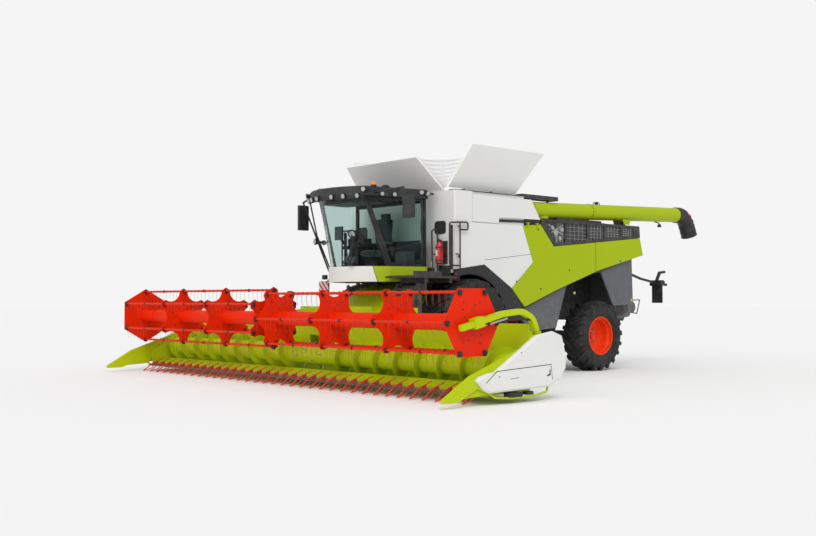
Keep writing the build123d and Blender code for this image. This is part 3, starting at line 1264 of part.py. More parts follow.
def hexagon_plate(x, start_angle, thickness, scallop, centre_hole):
    """Plate across the reel with six corners, its sides cut in by round scallops, and a hole for each bar."""
    with BuildSketch(Plane((x, aft(reel_aft), reel_z), x_dir=(0, 1, 0), z_dir=(1, 0, 0))) as plate:
        RegularPolygon(disc_radius, bar_count, rotation=start_angle)
        if scallop:
            with PolarLocations(disc_radius * 1.02, bar_count, start_angle=start_angle + 30):
                Circle(scallop, mode=Mode.SUBTRACT)
        if centre_hole:
            Circle(centre_hole, mode=Mode.SUBTRACT)
        with PolarLocations(reel_bar_radius, bar_count, start_angle=start_angle):
            Circle(tine_bar_radius + fit_gap, mode=Mode.SUBTRACT)
    extrude(plate.sketch, amount=thickness)


with BuildPart() as reel:
    for side in sides.values():
        start_angle = 0.0 if side > 0 else 30.0
        inner = centre_gap
        outer = reel_half_length
        tube_end = outer - spider_plate - fit_gap
        cross_cylinder(reel_tube_radius, (side * inner, side * tube_end), reel_aft, reel_z)
        # stub shafts into the slides
        cross_cylinder(stub_radius, (side * (slide_side + fit_gap), side * (inner + 1)), reel_aft, reel_z)
        cross_cylinder(stub_radius, (side * (outer - 1), side * (arm_x - slide_side - fit_gap)), reel_aft,
                       reel_z)
        for k in range(bays + 1):
            x = inner + (outer - spider_plate - inner) * k / bays
            x_low = x if side > 0 else -x - spider_plate
            if k == bays:
                hexagon_plate(x_low, start_angle, spider_plate, 0, 0)
            else:
                hexagon_plate(x_low, start_angle, spider_plate, 215, reel_tube_radius + fit_gap)
        for k in range(bar_count):
            angle = radians(start_angle + 60 * k)
            cross_cylinder(tine_bar_radius, (side * inner, side * outer),
                           reel_aft + reel_bar_radius * cos(angle),
                           reel_z + reel_bar_radius * sin(angle))
save(reel.part, "reel")
print("header done")
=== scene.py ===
import json
from math import atan2, cos, pi, radians, sin

import bmesh
import bpy
from mathutils import Matrix, Vector


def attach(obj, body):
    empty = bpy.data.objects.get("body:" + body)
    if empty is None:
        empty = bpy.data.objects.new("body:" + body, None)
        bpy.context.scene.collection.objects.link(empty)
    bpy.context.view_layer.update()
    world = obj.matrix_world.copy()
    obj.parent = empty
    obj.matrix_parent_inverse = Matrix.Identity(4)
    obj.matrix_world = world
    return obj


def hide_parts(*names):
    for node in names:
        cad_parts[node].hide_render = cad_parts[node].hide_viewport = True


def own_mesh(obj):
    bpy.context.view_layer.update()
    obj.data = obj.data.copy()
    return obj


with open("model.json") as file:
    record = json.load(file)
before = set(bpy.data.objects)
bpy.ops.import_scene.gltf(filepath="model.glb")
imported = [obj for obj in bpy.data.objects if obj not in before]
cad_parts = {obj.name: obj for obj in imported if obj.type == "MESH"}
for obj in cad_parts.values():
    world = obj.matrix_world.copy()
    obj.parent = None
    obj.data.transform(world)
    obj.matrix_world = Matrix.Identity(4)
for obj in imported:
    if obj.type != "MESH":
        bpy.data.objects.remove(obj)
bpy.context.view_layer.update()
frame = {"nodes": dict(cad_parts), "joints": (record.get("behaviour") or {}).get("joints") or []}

# ---------------------------------------------------------------- chassis, axles and engine
# Welded steel rails and axle beams under the machine, sprayed dark grey and dusty
# from the field. Every other finish below is built with the same socket class.


class Wire:
    """A socket of a node tree. Sums of values are written as expressions and add Math nodes."""

    def __init__(self, tree, socket=None):
        self.tree, self.socket = tree, socket

    def node(self, kind, settings=None, inputs=None, output=0):
        """Adds a node: its settings first, then the values or links of its sockets."""
        made = self.tree.nodes.new(kind)
        for key, value in (settings or {}).items():
            if key == "stops":
                for element, (position, grey) in zip(made.color_ramp.elements, value):
                    element.position = position
                    element.color = (grey, grey, grey, 1)
            else:
                setattr(made, key, value)
        for key, value in (inputs or {}).items():
            if isinstance(value, Wire):
                self.tree.links.new(value.socket, made.inputs[key])
            else:
                made.inputs[key].default_value = value
        return Wire(self.tree, made.outputs[output])

    def maths(self, operation, *others):
        """Math node whose first value is this wire."""
        return self.node("ShaderNodeMath", {"operation": operation}, dict(enumerate((self,) + others)))

    def __add__(self, other):
        return self.maths("ADD", other)

    def __radd__(self, other):
        return self.maths("ADD", other)

    def __sub__(self, other):
        return self.maths("SUBTRACT", other)

    def __rsub__(self, other):
        return self.maths("MULTIPLY", -1.0) + other

    def __mul__(self, other):
        return self.maths("MULTIPLY", other)

    def __rmul__(self, other):
        return self.maths("MULTIPLY", other)

    def mix(self, first, second):
        """Colour between two others, by this value."""
        return self.node("ShaderNodeMix", {"data_type": "RGBA"}, {0: self, 6: first, 7: second}, 2)


def new_finish(name, **sockets):
    """A material, its Principled shader with plain values set, and a wire at its object coordinates."""
    finish = bpy.data.materials.new(name)
    finish.use_nodes = True
    shader = finish.node_tree.nodes["Principled BSDF"]
    for key, value in sockets.items():
        shader.inputs[key.replace("_", " ")].default_value = value
    return finish, shader, Wire(finish.node_tree).node("ShaderNodeTexCoord", output="Object")


def feed(shader, **wires):
    """Links what varies over the surface to the shader's sockets."""
    for key, wire in wires.items():
        wire.tree.links.new(wire.socket, shader.inputs[key.replace("_", " ")])


def cloud(place, scale, detail=4.0, stretch=(1, 1, 1)):
    """Soft noise between 0 and 1 over the surface; scale is in patches per metre."""
    placed = place.node("ShaderNodeVectorMath", {"operation": "MULTIPLY"}, {0: place, 1: stretch})
    return place.node("ShaderNodeTexNoise", {},
                      {"Vector": placed, "Scale": scale, "Detail": detail, "Roughness": 0.55})


def along(place, axis):
    """Distance along an axis."""
    return place.node("ShaderNodeSeparateXYZ", {}, {"Vector": place}, axis)


def ribs_along(place, way, scale):
    """Fine parallel ribs between 0 and 1."""
    return place.node("ShaderNodeTexWave", {"wave_type": "BANDS", "bands_direction": way},
                      {"Vector": place, "Scale": scale})


def patches(noise, low, high, most=1.0):
    """Noise cut to patches: 0 below one level, rising to the most at another."""
    return noise.node("ShaderNodeValToRGB", {"stops": [(low, 0.0), (high, most)]}, {"Fac": noise})


def relief(height, strength, depth):
    """Bumped normal from a height; depth is in metres."""
    return height.node("ShaderNodeBump", {}, {"Strength": strength, "Distance": depth, "Height": height})


def shade(colour, factor):
    return (colour[0] * factor, colour[1] * factor, colour[2] * factor, 1)


def sprayed(name, colour, gloss=0.35, coat=0.12, dust=0.2, dusty_below=1.4, shine=0.28):
    """Sprayed steel: slight orange peel, faint change of tone, and straw dust, thicker near the ground."""
    finish, shader, place = new_finish(name, Coat_Weight=coat, Coat_Roughness=0.12, Specular_IOR_Level=shine)
    tone = cloud(place, 0.9).mix(shade(colour, 0.94), shade(colour, 1.03))
    height = along(place, "Z")
    low = place.node("ShaderNodeMapRange", {},
                     {"Value": height, "From Min": 0.1, "From Max": dusty_below, "To Min": 1.0, "To Max": 0.25})
    speck = patches(cloud(place, 7.0, 9.0), 0.42, 0.72)
    film = low * speck * dust
    feed(shader, Base_Color=film.mix(tone, (0.42, 0.36, 0.27, 1)),
         Roughness=gloss + film * 0.5 + cloud(place, 3.0) * 0.06,
         Normal=relief(cloud(place, 90.0, 2.0), 0.06, 0.002))
    return finish


def wear_finish(finish, *nodes):
    """Gives CAD nodes this material."""
    for name in nodes:
        for worn in frame["nodes"][name].material_slots:
            worn.material = finish


dark_frame_paint = sprayed("dark_frame_paint", (0.035, 0.037, 0.04),
                           gloss=0.5, coat=0.1, dust=0.5, dusty_below=1.8)
wear_finish(dark_frame_paint, "chassis_frame", "front_axle", "rear_axle", "threshing_body", "rear_body",
            "engine_deck", "steering_knuckle_left", "steering_knuckle_right", "lift_barrels")
cast_iron = sprayed("cast_iron", (0.07, 0.07, 0.072), gloss=0.6, coat=0.0, dust=0.4)
wear_finish(cast_iron, "engine_block")


def bright_metal(name, colour, roughness, grain=0.03):
    finish, shader, place = new_finish(name, Metallic=1.0)
    streaks = cloud(place, 60.0, 3.0, (1, 1, 0.08))
    feed(shader, Base_Color=cloud(place, 2.0).mix(shade(colour, 0.85), shade(colour, 1.05)),
         Roughness=roughness + streaks * 0.15,
         Normal=relief(streaks, grain, 0.001))
    return finish


rod_chrome = bright_metal("rod_chrome", (0.72, 0.73, 0.75), 0.12)
zinc_plate = bright_metal("zinc_plate", (0.55, 0.55, 0.54), 0.38, 0.1)
wear_finish(rod_chrome, "lift_rods", "steering_rod")

# ---------------------------------------------------------------- wheels
# Wide farm tyres with chevron lugs on orange-red dished rims. The front pair drives,
# the rear pair steers. Each rim is bolted to its hub by a ring of nuts.


def finished_mesh(name, maker, finish, body, smooth=35.0):
    """Turns a bmesh into a piece that rides on a body and takes its finish from a slot."""
    maker.normal_update()
    mesh = bpy.data.meshes.new(name)
    maker.to_mesh(mesh)
    maker.free()
    piece = bpy.data.objects.new(name, mesh)
    bpy.context.scene.collection.objects.link(piece)
    mesh.materials.append(finish)
    mesh.shade_smooth()
    mesh.set_sharp_from_angle(angle=radians(smooth))
    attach(piece, body)
    return piece


def soften(piece, width):
    """Rounds a piece's sharp edges."""
    edge = piece.modifiers.new("edge", "BEVEL")
    edge.width = width
    edge.segments = 2
    edge.limit_method = "ANGLE"
    edge.angle_limit = radians(40)
    return piece


def bridge(maker, rows, closed=False, capped=False):
    """Faces between neighbouring rows of points. Closed joins a row's ends, capped fills the end rows."""
    for here, following in zip(rows, rows[1:]):
        for j in range(len(here) if closed else len(here) - 1):
            n = (j + 1) % len(here)
            maker.faces.new((here[j], here[n], following[n], following[j]))
    if capped:
        maker.faces.new(rows[-1])
        maker.faces.new(list(reversed(rows[0])))


def cone(maker, spot, turn, low_radius, high_radius, depth, segments=24):
    """Closed cone centred on a point, its axis turned from Z by a matrix."""
    bmesh.ops.create_cone(maker, cap_ends=True, segments=segments, radius1=low_radius, radius2=high_radius,
                          depth=depth, matrix=Matrix.Translation(spot) @ turn)


def circle_point(angle, radius, x=0.0):
    """Offset to a point on a circle about the X axis."""
    return Vector((x, radius * cos(angle), radius * sin(angle)))


joint_place = {joint["name"]: Vector(joint["pos_m"]) for joint in frame["joints"] if "pos_m" in joint}
axle_y = joint_place["front_wheel_left_spin"].y

tyre_rubber, shader, place = new_finish("tyre_rubber", Specular_IOR_Level=0.4)
rubber_dust = patches(cloud(place, 5.0, 8.0), 0.45, 0.85, 0.55)
feed(shader, Base_Color=rubber_dust.mix((0.012, 0.012, 0.013, 1), (0.085, 0.078, 0.068, 1)),
     Roughness=0.5 + cloud(place, 12.0) * 0.3,
     Normal=relief(cloud(place, 160.0, 3.0), 0.25, 0.002))
rim_red = sprayed("rim_red", (0.84, 0.045, 0.001),
                  gloss=0.42, coat=0.02, dust=0.15, dusty_below=1.3, shine=0.12)
wear_finish(rim_red, "front_rim_left", "front_rim_right", "rear_rim_left", "rear_rim_right")

# columns: axle, tyre radius, half width, rim radius, lugs on each side, lug height, radius of the ring of
# nuts, and distance of the rim's disc from the wheel's middle
for axle, tyre_r, half, rim_r, lug_count, lug_height, nut_circle, disc_face in (
        ("front", 1.03, 0.400, 0.425, 21, 0.052, 0.155, -0.036),
        ("rear", 0.805, 0.300, 0.420, 19, 0.046, 0.108, -0.046)):
    for side_name, side in (("left", 1), ("right", -1)):
        centre = joint_place[f"{axle}_wheel_{side_name}_spin"]
        crown = tyre_r - lug_height
        bead = half - 0.062
        outer_half = [(rim_r + 0.002, bead - 0.03), (rim_r + 0.006, bead + 0.004),
                      (rim_r + 0.034, bead + 0.014), (rim_r + 0.05, bead + 0.030),
                      (rim_r + 0.058, bead + 0.031), (rim_r + 0.066, bead + 0.036),
                      (rim_r + 0.12, half - 0.006), (rim_r + 0.128, half + 0.001),
                      (rim_r + 0.137, half - 0.001), ((tyre_r + rim_r) / 2 + 0.02, half + 0.004),
                      (crown - 0.09, half - 0.008), (crown - 0.04, half - 0.035),
                      (crown - 0.012, half - 0.075), (crown - 0.002, half * 0.5)]
        section = ([(r, side * x) for r, x in outer_half] + [(crown, 0.0)]
                   + [(r, -side * x) for r, x in reversed(outer_half)])
        maker = bmesh.new()
        turns = [2 * pi * k / 96 for k in range(96)]
        rings = [[maker.verts.new(centre + circle_point(turn, r, x)) for r, x in section] for turn in turns]
        bridge(maker, rings + rings[:1])
        # lug stations: offset from the tyre's middle, root and top radius, half width at root and at top
        stations = [(-0.015, crown - 0.02, tyre_r, 0.040, 0.026),
                    (half * 0.30, crown - 0.02, tyre_r, 0.040, 0.027),
                    (half * 0.62, crown - 0.02, tyre_r - 0.002, 0.044, 0.030),
                    (half - 0.045, crown - 0.05, tyre_r - 0.012, 0.052, 0.036),
                    (half - 0.012, crown - 0.09, crown - 0.006, 0.052, 0.038),
                    (half + 0.004, crown - 0.13, crown - 0.060, 0.046, 0.034),
                    (half - 0.004, crown - 0.16, crown - 0.135, 0.030, 0.020)]
        for way in (1, -1):
            for k in range(lug_count):
                start = 2 * pi * (k + (0.5 if way < 0 else 0.0)) / lug_count
                loops = []
                for offset, root, top, wide, narrow in stations:
                    sweep = 0.86 / tyre_r * (1.25 - 0.35 * offset / half)
                    lag = start - min(max(offset, 0.0), half - 0.02) * sweep
                    loops.append([maker.verts.new(centre + circle_point(lag + w / r, r, way * offset))
                                  for r, w in ((root, -wide), (top, -narrow), (top, narrow), (root, wide))])
                bridge(maker, loops, capped=True)
        bmesh.ops.recalc_face_normals(maker, faces=maker.faces)
        tyre = finished_mesh(f"{axle}_tyre_{side_name}_lugged", maker, tyre_rubber,
                             f"{axle}_wheel_{side_name}", 30)
        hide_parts(f"{axle}_tyre_{side_name}")
        maker = bmesh.new()
        face_x = side * disc_face
        for k in range(10):
            spot = centre + circle_point(2 * pi * k / 10, nut_circle, face_x)
            # washer, nut and stud: radius, thickness, sides
            for radius, thick, sides_count in ((0.026, 0.008, 20), (0.018, 0.026, 6), (0.010, 0.040, 12)):
                cone(maker, spot + Vector((side * thick / 2, 0, 0)), Matrix.Rotation(side * pi / 2, 4, "Y"),
                     radius, radius * 0.92, thick, sides_count)
        finished_mesh(f"{axle}_wheel_nuts_{side_name}", maker, zinc_plate,
                      f"{axle}_wheel_{side_name}", 30)

# ---------------------------------------------------------------- body shell and side panels
# White and lime sheet panels hang on the dark body core, with grey guards below and a
# grey grille band above. Latches, seams and dark trim strips are set into them.


def at(x, aft, z):
    """Point from its distance to the left, behind the front axle, and above the ground, in metres."""
    return Vector((x, axle_y + aft, z))


def slab(maker, outline, x_from, x_to):
    """Prism along X over a side outline of (aft, height) points."""
    near, far = ([maker.verts.new(at(x, aft, z)) for aft, z in outline] for x in (x_from, x_to))
    bridge(maker, [far, near], closed=True, capped=True)


def brick(maker, low, high):
    """Box between two corners given as (x, aft, z)."""
    slab(maker, [(low[1], low[2]), (high[1], low[2]), (high[1], high[2]), (low[1], high[2])], low[0], high[0])


def disc_on_side(maker, x, aft, z, radius, thick, sides_count=24, taper=0.9):
    """Short round boss whose axis is along X; thick is signed."""
    cone(maker, at(x + thick / 2, aft, z), Matrix.Rotation(pi / 2 if thick > 0 else -pi / 2, 4, "Y"),
         radius, radius * taper, abs(thick), sides_count)


def facing(way):
    """Rotation that lays Z along a direction."""
    return way.to_track_quat("Z", "Y").to_matrix().to_4x4()


def rod(maker, start, end, radius, sides_count=10):
    """Round bar between two points."""
    cone(maker, (start + end) / 2, facing(end - start), radius, radius, (end - start).length, sides_count)


def solid(name, maker, finish, body, edge=0.0, smooth=35.0):
    """Closes a bmesh of solids as a piece, its outer edges rounded."""
    bmesh.ops.recalc_face_normals(maker, faces=maker.faces)
    piece = finished_mesh(name, maker, finish, body, smooth)
    return soften(piece, edge) if edge else piece


white_enamel = sprayed("white_enamel", (0.80, 0.80, 0.78), gloss=0.32, coat=0.15, dust=0.06, dusty_below=2.6)
lime_enamel = sprayed("lime_enamel", (0.390, 0.500, 0.001),
                      gloss=0.36, coat=0.03, dust=0.10, dusty_below=2.4, shine=0.12)
grey_enamel = sprayed("grey_enamel", (0.105, 0.112, 0.125), gloss=0.42, coat=0.2, dust=0.25, dusty_below=2.2)


def moulded(name, colour, roughness, dust=0.12):
    """Moulded plastic with a fine grain and a little dust in its hollows."""
    finish, shader, place = new_finish(name, Specular_IOR_Level=0.35)
    speck = patches(cloud(place, 5.0, 8.0), 0.5, 0.8)
    feed(shader, Base_Color=(speck * dust).mix(shade(colour, 1.0), (0.32, 0.29, 0.24, 1)),
         Roughness=roughness + cloud(place, 9.0) * 0.12,
         Normal=relief(cloud(place, 220.0, 2.0), 0.35, 0.0008))
    return finish


black_plastic = moulded("black_plastic", (0.022, 0.023, 0.025), 0.45)
grey_plastic = moulded("grey_plastic", (0.075, 0.08, 0.088), 0.5)
wear_finish(white_enamel, "front_bulkhead", "white_panels", "grain_tank")
wear_finish(lime_enamel, "side_door_left", "side_door_right")
wear_finish(grey_enamel, "lower_panels")
wear_finish(dark_frame_paint, "side_grilles")

band_top, foot_slope = 3.35, 0.0973


def band_foot(aft):
    """Height of the grille band's lower edge, which climbs towards the rear."""
    return 2.882 + (aft - 2.632) * foot_slope


maker = bmesh.new()
seams = bmesh.new()
slats = bmesh.new()
innards = bmesh.new()
shadows = bmesh.new()
for side in (1, -1):
    skin = side * 1.680
    # black strip under the upper white panel
    slab(maker, [(0.86, 3.27), (2.13, 3.305), (2.15, 3.352), (0.88, 3.325)], side * 1.641, side * 1.668)
    for aft in (1.0, 1.25, 1.5, 1.75):
        brick(maker, (side * 1.668, aft, 3.300), (side * 1.673, aft + 0.16, 3.308))
    # latches of the side doors
    for aft, z in ((2.18, 1.87), (5.03, 2.55), (3.15, 2.30), (2.10, 3.16), (1.40, 2.02)):
        disc_on_side(maker, skin, aft, z, 0.022, side * 0.006)
        disc_on_side(maker, skin + side * 0.006, aft, z, 0.010, side * 0.004, 12)
    # narrow seam across the long door, and the hatch line in the white panel
    for outline in ([(4.10, 2.16), (4.112, 2.16), (4.106, 2.99), (4.094, 2.99)],
                    [(0.42, 2.45), (1.90, 2.62), (1.90, 2.628), (0.42, 2.458)]):
        slab(seams, outline, skin, skin + side * 0.0015)
    # upright slats and rails of the grille band, the cooling gear behind its first opening, and a
    # near-black sheet behind each opening as painted shade
    for front, low_front, rear in ((2.29, 2.70, 3.01), (3.06, 3.06, 3.79), (3.85, 3.85, 4.42),
                                   (4.48, 4.48, 5.06), (5.11, 5.11, 5.56)):
        foot, rear_foot = band_foot(low_front), band_foot(rear)
        rows = 5 if front > 3.0 else 3
        # near-black sheet behind this opening: painted shade for the dark inside the grille
        slab(shadows, [(low_front, foot), (rear, rear_foot), (rear, band_top + 0.002), (front, band_top + 0.002)],
             side * 1.6450, side * 1.6515)
        for k in range(1, rows):
            level = foot + (band_top - foot) * k / rows
            reach = low_front + (front - low_front) * k / rows
            brick(slats, (side * 1.658, reach, level - 0.003), (side * 1.664, rear, level + 0.003))
        for k in range(1, 5):
            aft = low_front + (rear - low_front) * k / 5
            brick(slats, (side * 1.654, aft - 0.005, band_foot(aft)), (side * 1.660, aft + 0.005, band_top))
    for aft, z, radius in ((2.72, 3.12, 0.07), (2.86, 3.0, 0.05), (2.60, 3.23, 0.05), (2.93, 3.2, 0.06)):
        disc_on_side(innards, side * 1.652, aft, z, radius, side * 0.014)
        disc_on_side(innards, side * 1.664, aft, z, radius * 0.45, side * 0.008)
    for start, end in (((2.45, 3.30), (2.96, 3.08)),
                       ((2.55, 3.12), (2.95, 3.30)),
                       ((2.72, 3.12), (2.72, 2.90))):
        rod(innards, at(side * 1.660, *start), at(side * 1.660, *end), 0.012)
solid("trim_strips_and_latches", maker, black_plastic, "machine", 0.002)
solid("grille_slats", slats, zinc_plate, "machine")
solid("cooling_gear", innards, zinc_plate, "machine")
seam_shadow = moulded("seam_shadow", (0.012, 0.013, 0.013), 0.8, dust=0.05)
solid("panel_seams", seams, seam_shadow, "machine")
# near-black sheets behind the grille openings: painted shade
solid("grille_painted_shade", shadows, seam_shadow, "machine")

# ---------------------------------------------------------------- grain header
# A wide welded trough in lime paint with a flighted intake auger, a knife of forged
# guards along its front edge, white end covers and pointed crop dividers.
header_lime = sprayed("header_lime", (0.500, 0.620, 0.001),
                      gloss=0.36, coat=0.03, dust=0.10, dusty_below=1.1, shine=0.12)
auger_lime = sprayed("auger_lime", (0.480, 0.600, 0.002),
                     gloss=0.4, coat=0.03, dust=0.12, dusty_below=1.2, shine=0.12)
lifter_red = sprayed("lifter_red", (0.72, 0.055, 0.050), gloss=0.35, coat=0.05, dust=0.1, dusty_below=0.6)
wear_finish(header_lime, "header_frame", "header_back_frame", "feeder_house", "crop_dividers")
wear_finish(auger_lime, "intake_auger")
wear_finish(lifter_red, "crop_lifters")
wear_finish(white_enamel, "header_end_covers")
guard_steel = bright_metal("guard_steel", (0.38, 0.33, 0.31), 0.5, 0.2)
half_table = 5.36
knife_aft, knife_z = -3.42, 0.137

maker = bmesh.new()
guard_count = 140
for k in range(guard_count + 1):
    x = half_table * (2 * k / guard_count - 1)
    loops = []
    for aft, wide, low, high in ((knife_aft + 0.05, 0.017, -0.022, 0.012),
                                 (knife_aft - 0.005, 0.016, -0.024, 0.014),
                                 (knife_aft - 0.05, 0.011, -0.022, 0.006),
                                 (knife_aft - 0.085, 0.003, -0.016, -0.008)):
        corners = ((-1, low), (1, low), (1, high), (-1, high))
        loops.append([maker.verts.new(at(x + sx * wide, aft, knife_z + z)) for sx, z in corners])
    bridge(maker, loops, closed=True, capped=True)
    # knife section between two guards
    if k < guard_count:
        blade = x + half_table / guard_count
        maker.faces.new([maker.verts.new(at(blade + dx, knife_aft + da, knife_z + 0.002))
                         for dx, da in ((-0.034, 0.03), (0.034, 0.03), (0.0, -0.055))])
for aft, z in ((knife_aft + 0.03, knife_z + 0.012), (knife_aft + 0.075, knife_z + 0.026)):
    brick(maker, (-half_table, aft, z), (half_table, aft + 0.022, z + 0.009))
solid("knife_guards", maker, guard_steel, "header")

# ribs, feet and the pipe run behind the trough; channel edges along its top
maker = bmesh.new()
piping = bmesh.new()
for k in range(19):
    x = -5.22 + 0.58 * k
    if abs(x) > 0.7:
        slab(maker, [(-2.32, 0.42), (-2.235, 0.44), (-2.235, 0.86), (-2.32, 0.87)], x, x + 0.012)
        slab(maker, [(-2.31, 1.0), (-2.21, 1.0), (-2.27, 1.19), (-2.31, 1.19)], x, x + 0.010)
for side in (1, -1):
    for x in (1.9, 3.6, 5.1):
        slab(maker, [(-2.25, 0.235), (-2.10, 0.235), (-2.14, 0.14), (-2.62, 0.10),
                     (-2.66, 0.125), (-2.36, 0.2)], side * x, side * (x + 0.09))
    for z, radius in ((1.045, 0.020), (1.10, 0.014)):
        rod(piping, at(side * 0.72, -2.275, z), at(side * 5.30, -2.275, z), radius)
    for x in (1.3, 2.1, 2.9, 3.7, 4.5):
        brick(piping, (side * x, -2.31, 1.02), (side * x + 0.03, -2.25, 1.125))
solid("header_ribs_and_feet", maker, header_lime, "header", 0.002)
solid("header_pipes", piping, black_plastic, "header", 0.002)

# controlled fingers of the intake auger
maker = bmesh.new()
auger_spot = joint_place["intake_auger_spin"]
for k in range(20):
    x = -0.57 + 1.14 * k / 19
    turn = radians(137.5) * k
    way = Vector((0, cos(turn), sin(turn)))
    start = Vector((x, auger_spot.y, auger_spot.z)) + way * 0.195
    rod(maker, start, start + way * 0.115, 0.008, 8)
    rod(maker, start, start + way * 0.016, 0.022, 14)
solid("auger_fingers", maker, zinc_plate, "intake_auger")


def path(*spots, side=1):
    """Points given as (x, aft, z); side -1 mirrors them to the machine's right."""
    return [at(side * x, aft, z) for x, aft, z in spots]


def ball(maker, spot, radius, segments=12, rings=8, squash=(1, 1, 1)):
    """Sphere, or an egg where it is squashed."""
    bmesh.ops.create_uvsphere(maker, u_segments=segments, v_segments=rings, radius=radius,
                              matrix=Matrix.Translation(spot) @ Matrix.Diagonal((*squash, 1)))


def tube_along(maker, points, radius, sides_count=12):
    """Round tube along a bent line, with balls at its bends."""
    for start, end in zip(points, points[1:]):
        rod(maker, start, end, radius, sides_count)
    for bend in points[1:-1]:
        ball(maker, bend, radius, sides_count)


# end covers: a deep seam, latch, handle pocket, and the box and guard tube underneath
maker = bmesh.new()
tubing = bmesh.new()
for side in (1, -1):
    skin = side * 5.600
    # seams and hatch lines as thin strips, and the handle pocket, which stands out more
    for thick, *outline in (
            (0.0012, (-3.37, 0.520), (-2.60, 0.555), (-2.10, 0.578), (-2.10, 0.590), (-2.60, 0.567), (-3.37, 0.532)),
            (0.0012, (-3.37, 0.53), (-3.60, 0.36), (-3.59, 0.352), (-3.362, 0.520)),
            (0.0012, (-2.10, 0.59), (-2.06, 0.34), (-2.05, 0.34), (-2.088, 0.59)),
            (0.006, (-2.19, 0.40), (-2.11, 0.41), (-2.11, 0.50), (-2.13, 0.505), (-2.13, 0.43), (-2.19, 0.42)),
            (0.0012, (-3.05, 0.392), (-2.86, 0.402), (-2.86, 0.41), (-3.05, 0.40))):
        slab(maker, outline, skin, skin + side * thick)
    disc_on_side(maker, skin, -3.30, 0.44, 0.012, side * 0.004, 12)
    disc_on_side(maker, skin, -2.80, 0.80, 0.010, side * 0.004, 12)
    brick(maker, (side * 5.42, -3.02, 0.105), (side * 5.55, -2.72, 0.174))
    brick(maker, (side * 5.44, -2.60, 0.12), (side * 5.54, -2.45, 0.172))
    route = path((5.50, -3.45, 0.20), (5.52, -3.32, 0.115), (5.52, -2.95, 0.085), (5.52, -2.40, 0.095),
                 (5.52, -2.12, 0.14), (5.50, -2.05, 0.24), side=side)
    tube_along(tubing, route, 0.018)
    ball(tubing, route[-1], 0.018)
    # round bar down the spine of each divider
    spine = path((5.50, -4.44, 0.135), (5.50, -3.87, 0.46), (5.50, -3.28, 0.655), (5.50, -2.70, 0.85),
                 (5.50, -2.41, 1.055), side=side)
    for start, end in zip(spine, spine[1:]):
        rod(tubing, start, end, 0.016, 12)
solid("cover_seams_and_latches", maker, black_plastic, "header", 0.001)
solid("header_guard_tubes", tubing, header_lime, "header")

# ---------------------------------------------------------------- reel
# Two orange-red reel halves turn on lime arms. Six tine bars run through pressed spider
# plates, and sprung tines hang from every bar.
reel_red = sprayed("reel_red", (0.84, 0.022, 0.0),
                   gloss=0.42, coat=0.02, dust=0.05, dusty_below=1.2, shine=0.10)
wear_finish(reel_red, "reel")
wear_finish(header_lime, "reel_arms", "reel_slides")
tine_wire = bright_metal("tine_wire", (0.42, 0.15, 0.10), 0.5)
reel_spot = joint_place["reel_spin"]
reel_aft = reel_spot.y - axle_y
bar_circle = 0.545
inner_end, outer_end = 0.088, 5.300

tines = bmesh.new()
clamps = bmesh.new()
bolts = bmesh.new()
collars = bmesh.new()
for side, first in ((1, 0), (-1, 30)):
    plates = [inner_end + (outer_end - 0.012 - inner_end) * k / 3 for k in range(4)]
    for k in range(6):
        turn = radians(first + 60 * k)
        spot = reel_spot + circle_point(turn, bar_circle)
        for j in range(34):
            x = side * (inner_end + 0.09 + 0.152 * j)
            if min(abs(abs(x) - plate) for plate in plates) < 0.05:
                continue
            # a coil round the bar and the tine's two legs: start, end, radius
            for start, end, radius in (((x - 0.012, 0, 0), (x + 0.012, 0, 0), 0.0265),
                                       ((x, -0.02, -0.015), (x, -0.024, -0.13), 0.0024),
                                       ((x, -0.024, -0.13), (x, -0.004, -0.225), 0.0021)):
                rod(tines, spot + Vector(start), spot + Vector(end), radius, 6)
        for plate in plates:
            x, aft = side * (plate + 0.006), spot.y - axle_y
            for way in (1, -1):
                rod(clamps, at(x + way * 0.007, aft, spot.z), at(x + way * 0.045, aft, spot.z), 0.038, 12)
            brick(clamps, (x - 0.03, aft - 0.028, spot.z - 0.055), (x + 0.03, aft + 0.028, spot.z - 0.018))
        for inner, outer in zip(plates, plates[1:]):
            x = side * (inner + outer) / 2
            rod(clamps, Vector((x - 0.02, spot.y, spot.z)), Vector((x + 0.02, spot.y, spot.z)), 0.031, 12)
    # bolt rings round the centre tube and pairs of bolts in each spider leg
    for plate in plates:
        for face in (0.0, 0.012):
            out = side * (plate + face)
            way = side if face else -side
            for k in range(12):
                turn = radians(30 * k + first)
                reach = 0.185 if k % 2 else 0.36
                disc_on_side(bolts, out, reel_aft + reach * cos(turn), reel_spot.z + reach * sin(turn),
                             0.013, way * 0.010, 6)
                if k % 2 == 0:
                    disc_on_side(bolts, out, reel_aft + 0.28 * cos(turn + 0.25),
                                 reel_spot.z + 0.28 * sin(turn + 0.25), 0.017, way * 0.004, 16)
    for x in (0.55, 4.70):
        disc_on_side(collars, side * x, reel_aft, reel_spot.z, 0.148, side * 0.03, 32)
solid("reel_tines", tines, tine_wire, "reel", smooth=50)
solid("reel_bar_clamps", clamps, black_plastic, "reel")
solid("reel_plate_bolts", bolts, dark_frame_paint, "reel")
solid("reel_tube_collars", collars, reel_red, "reel")

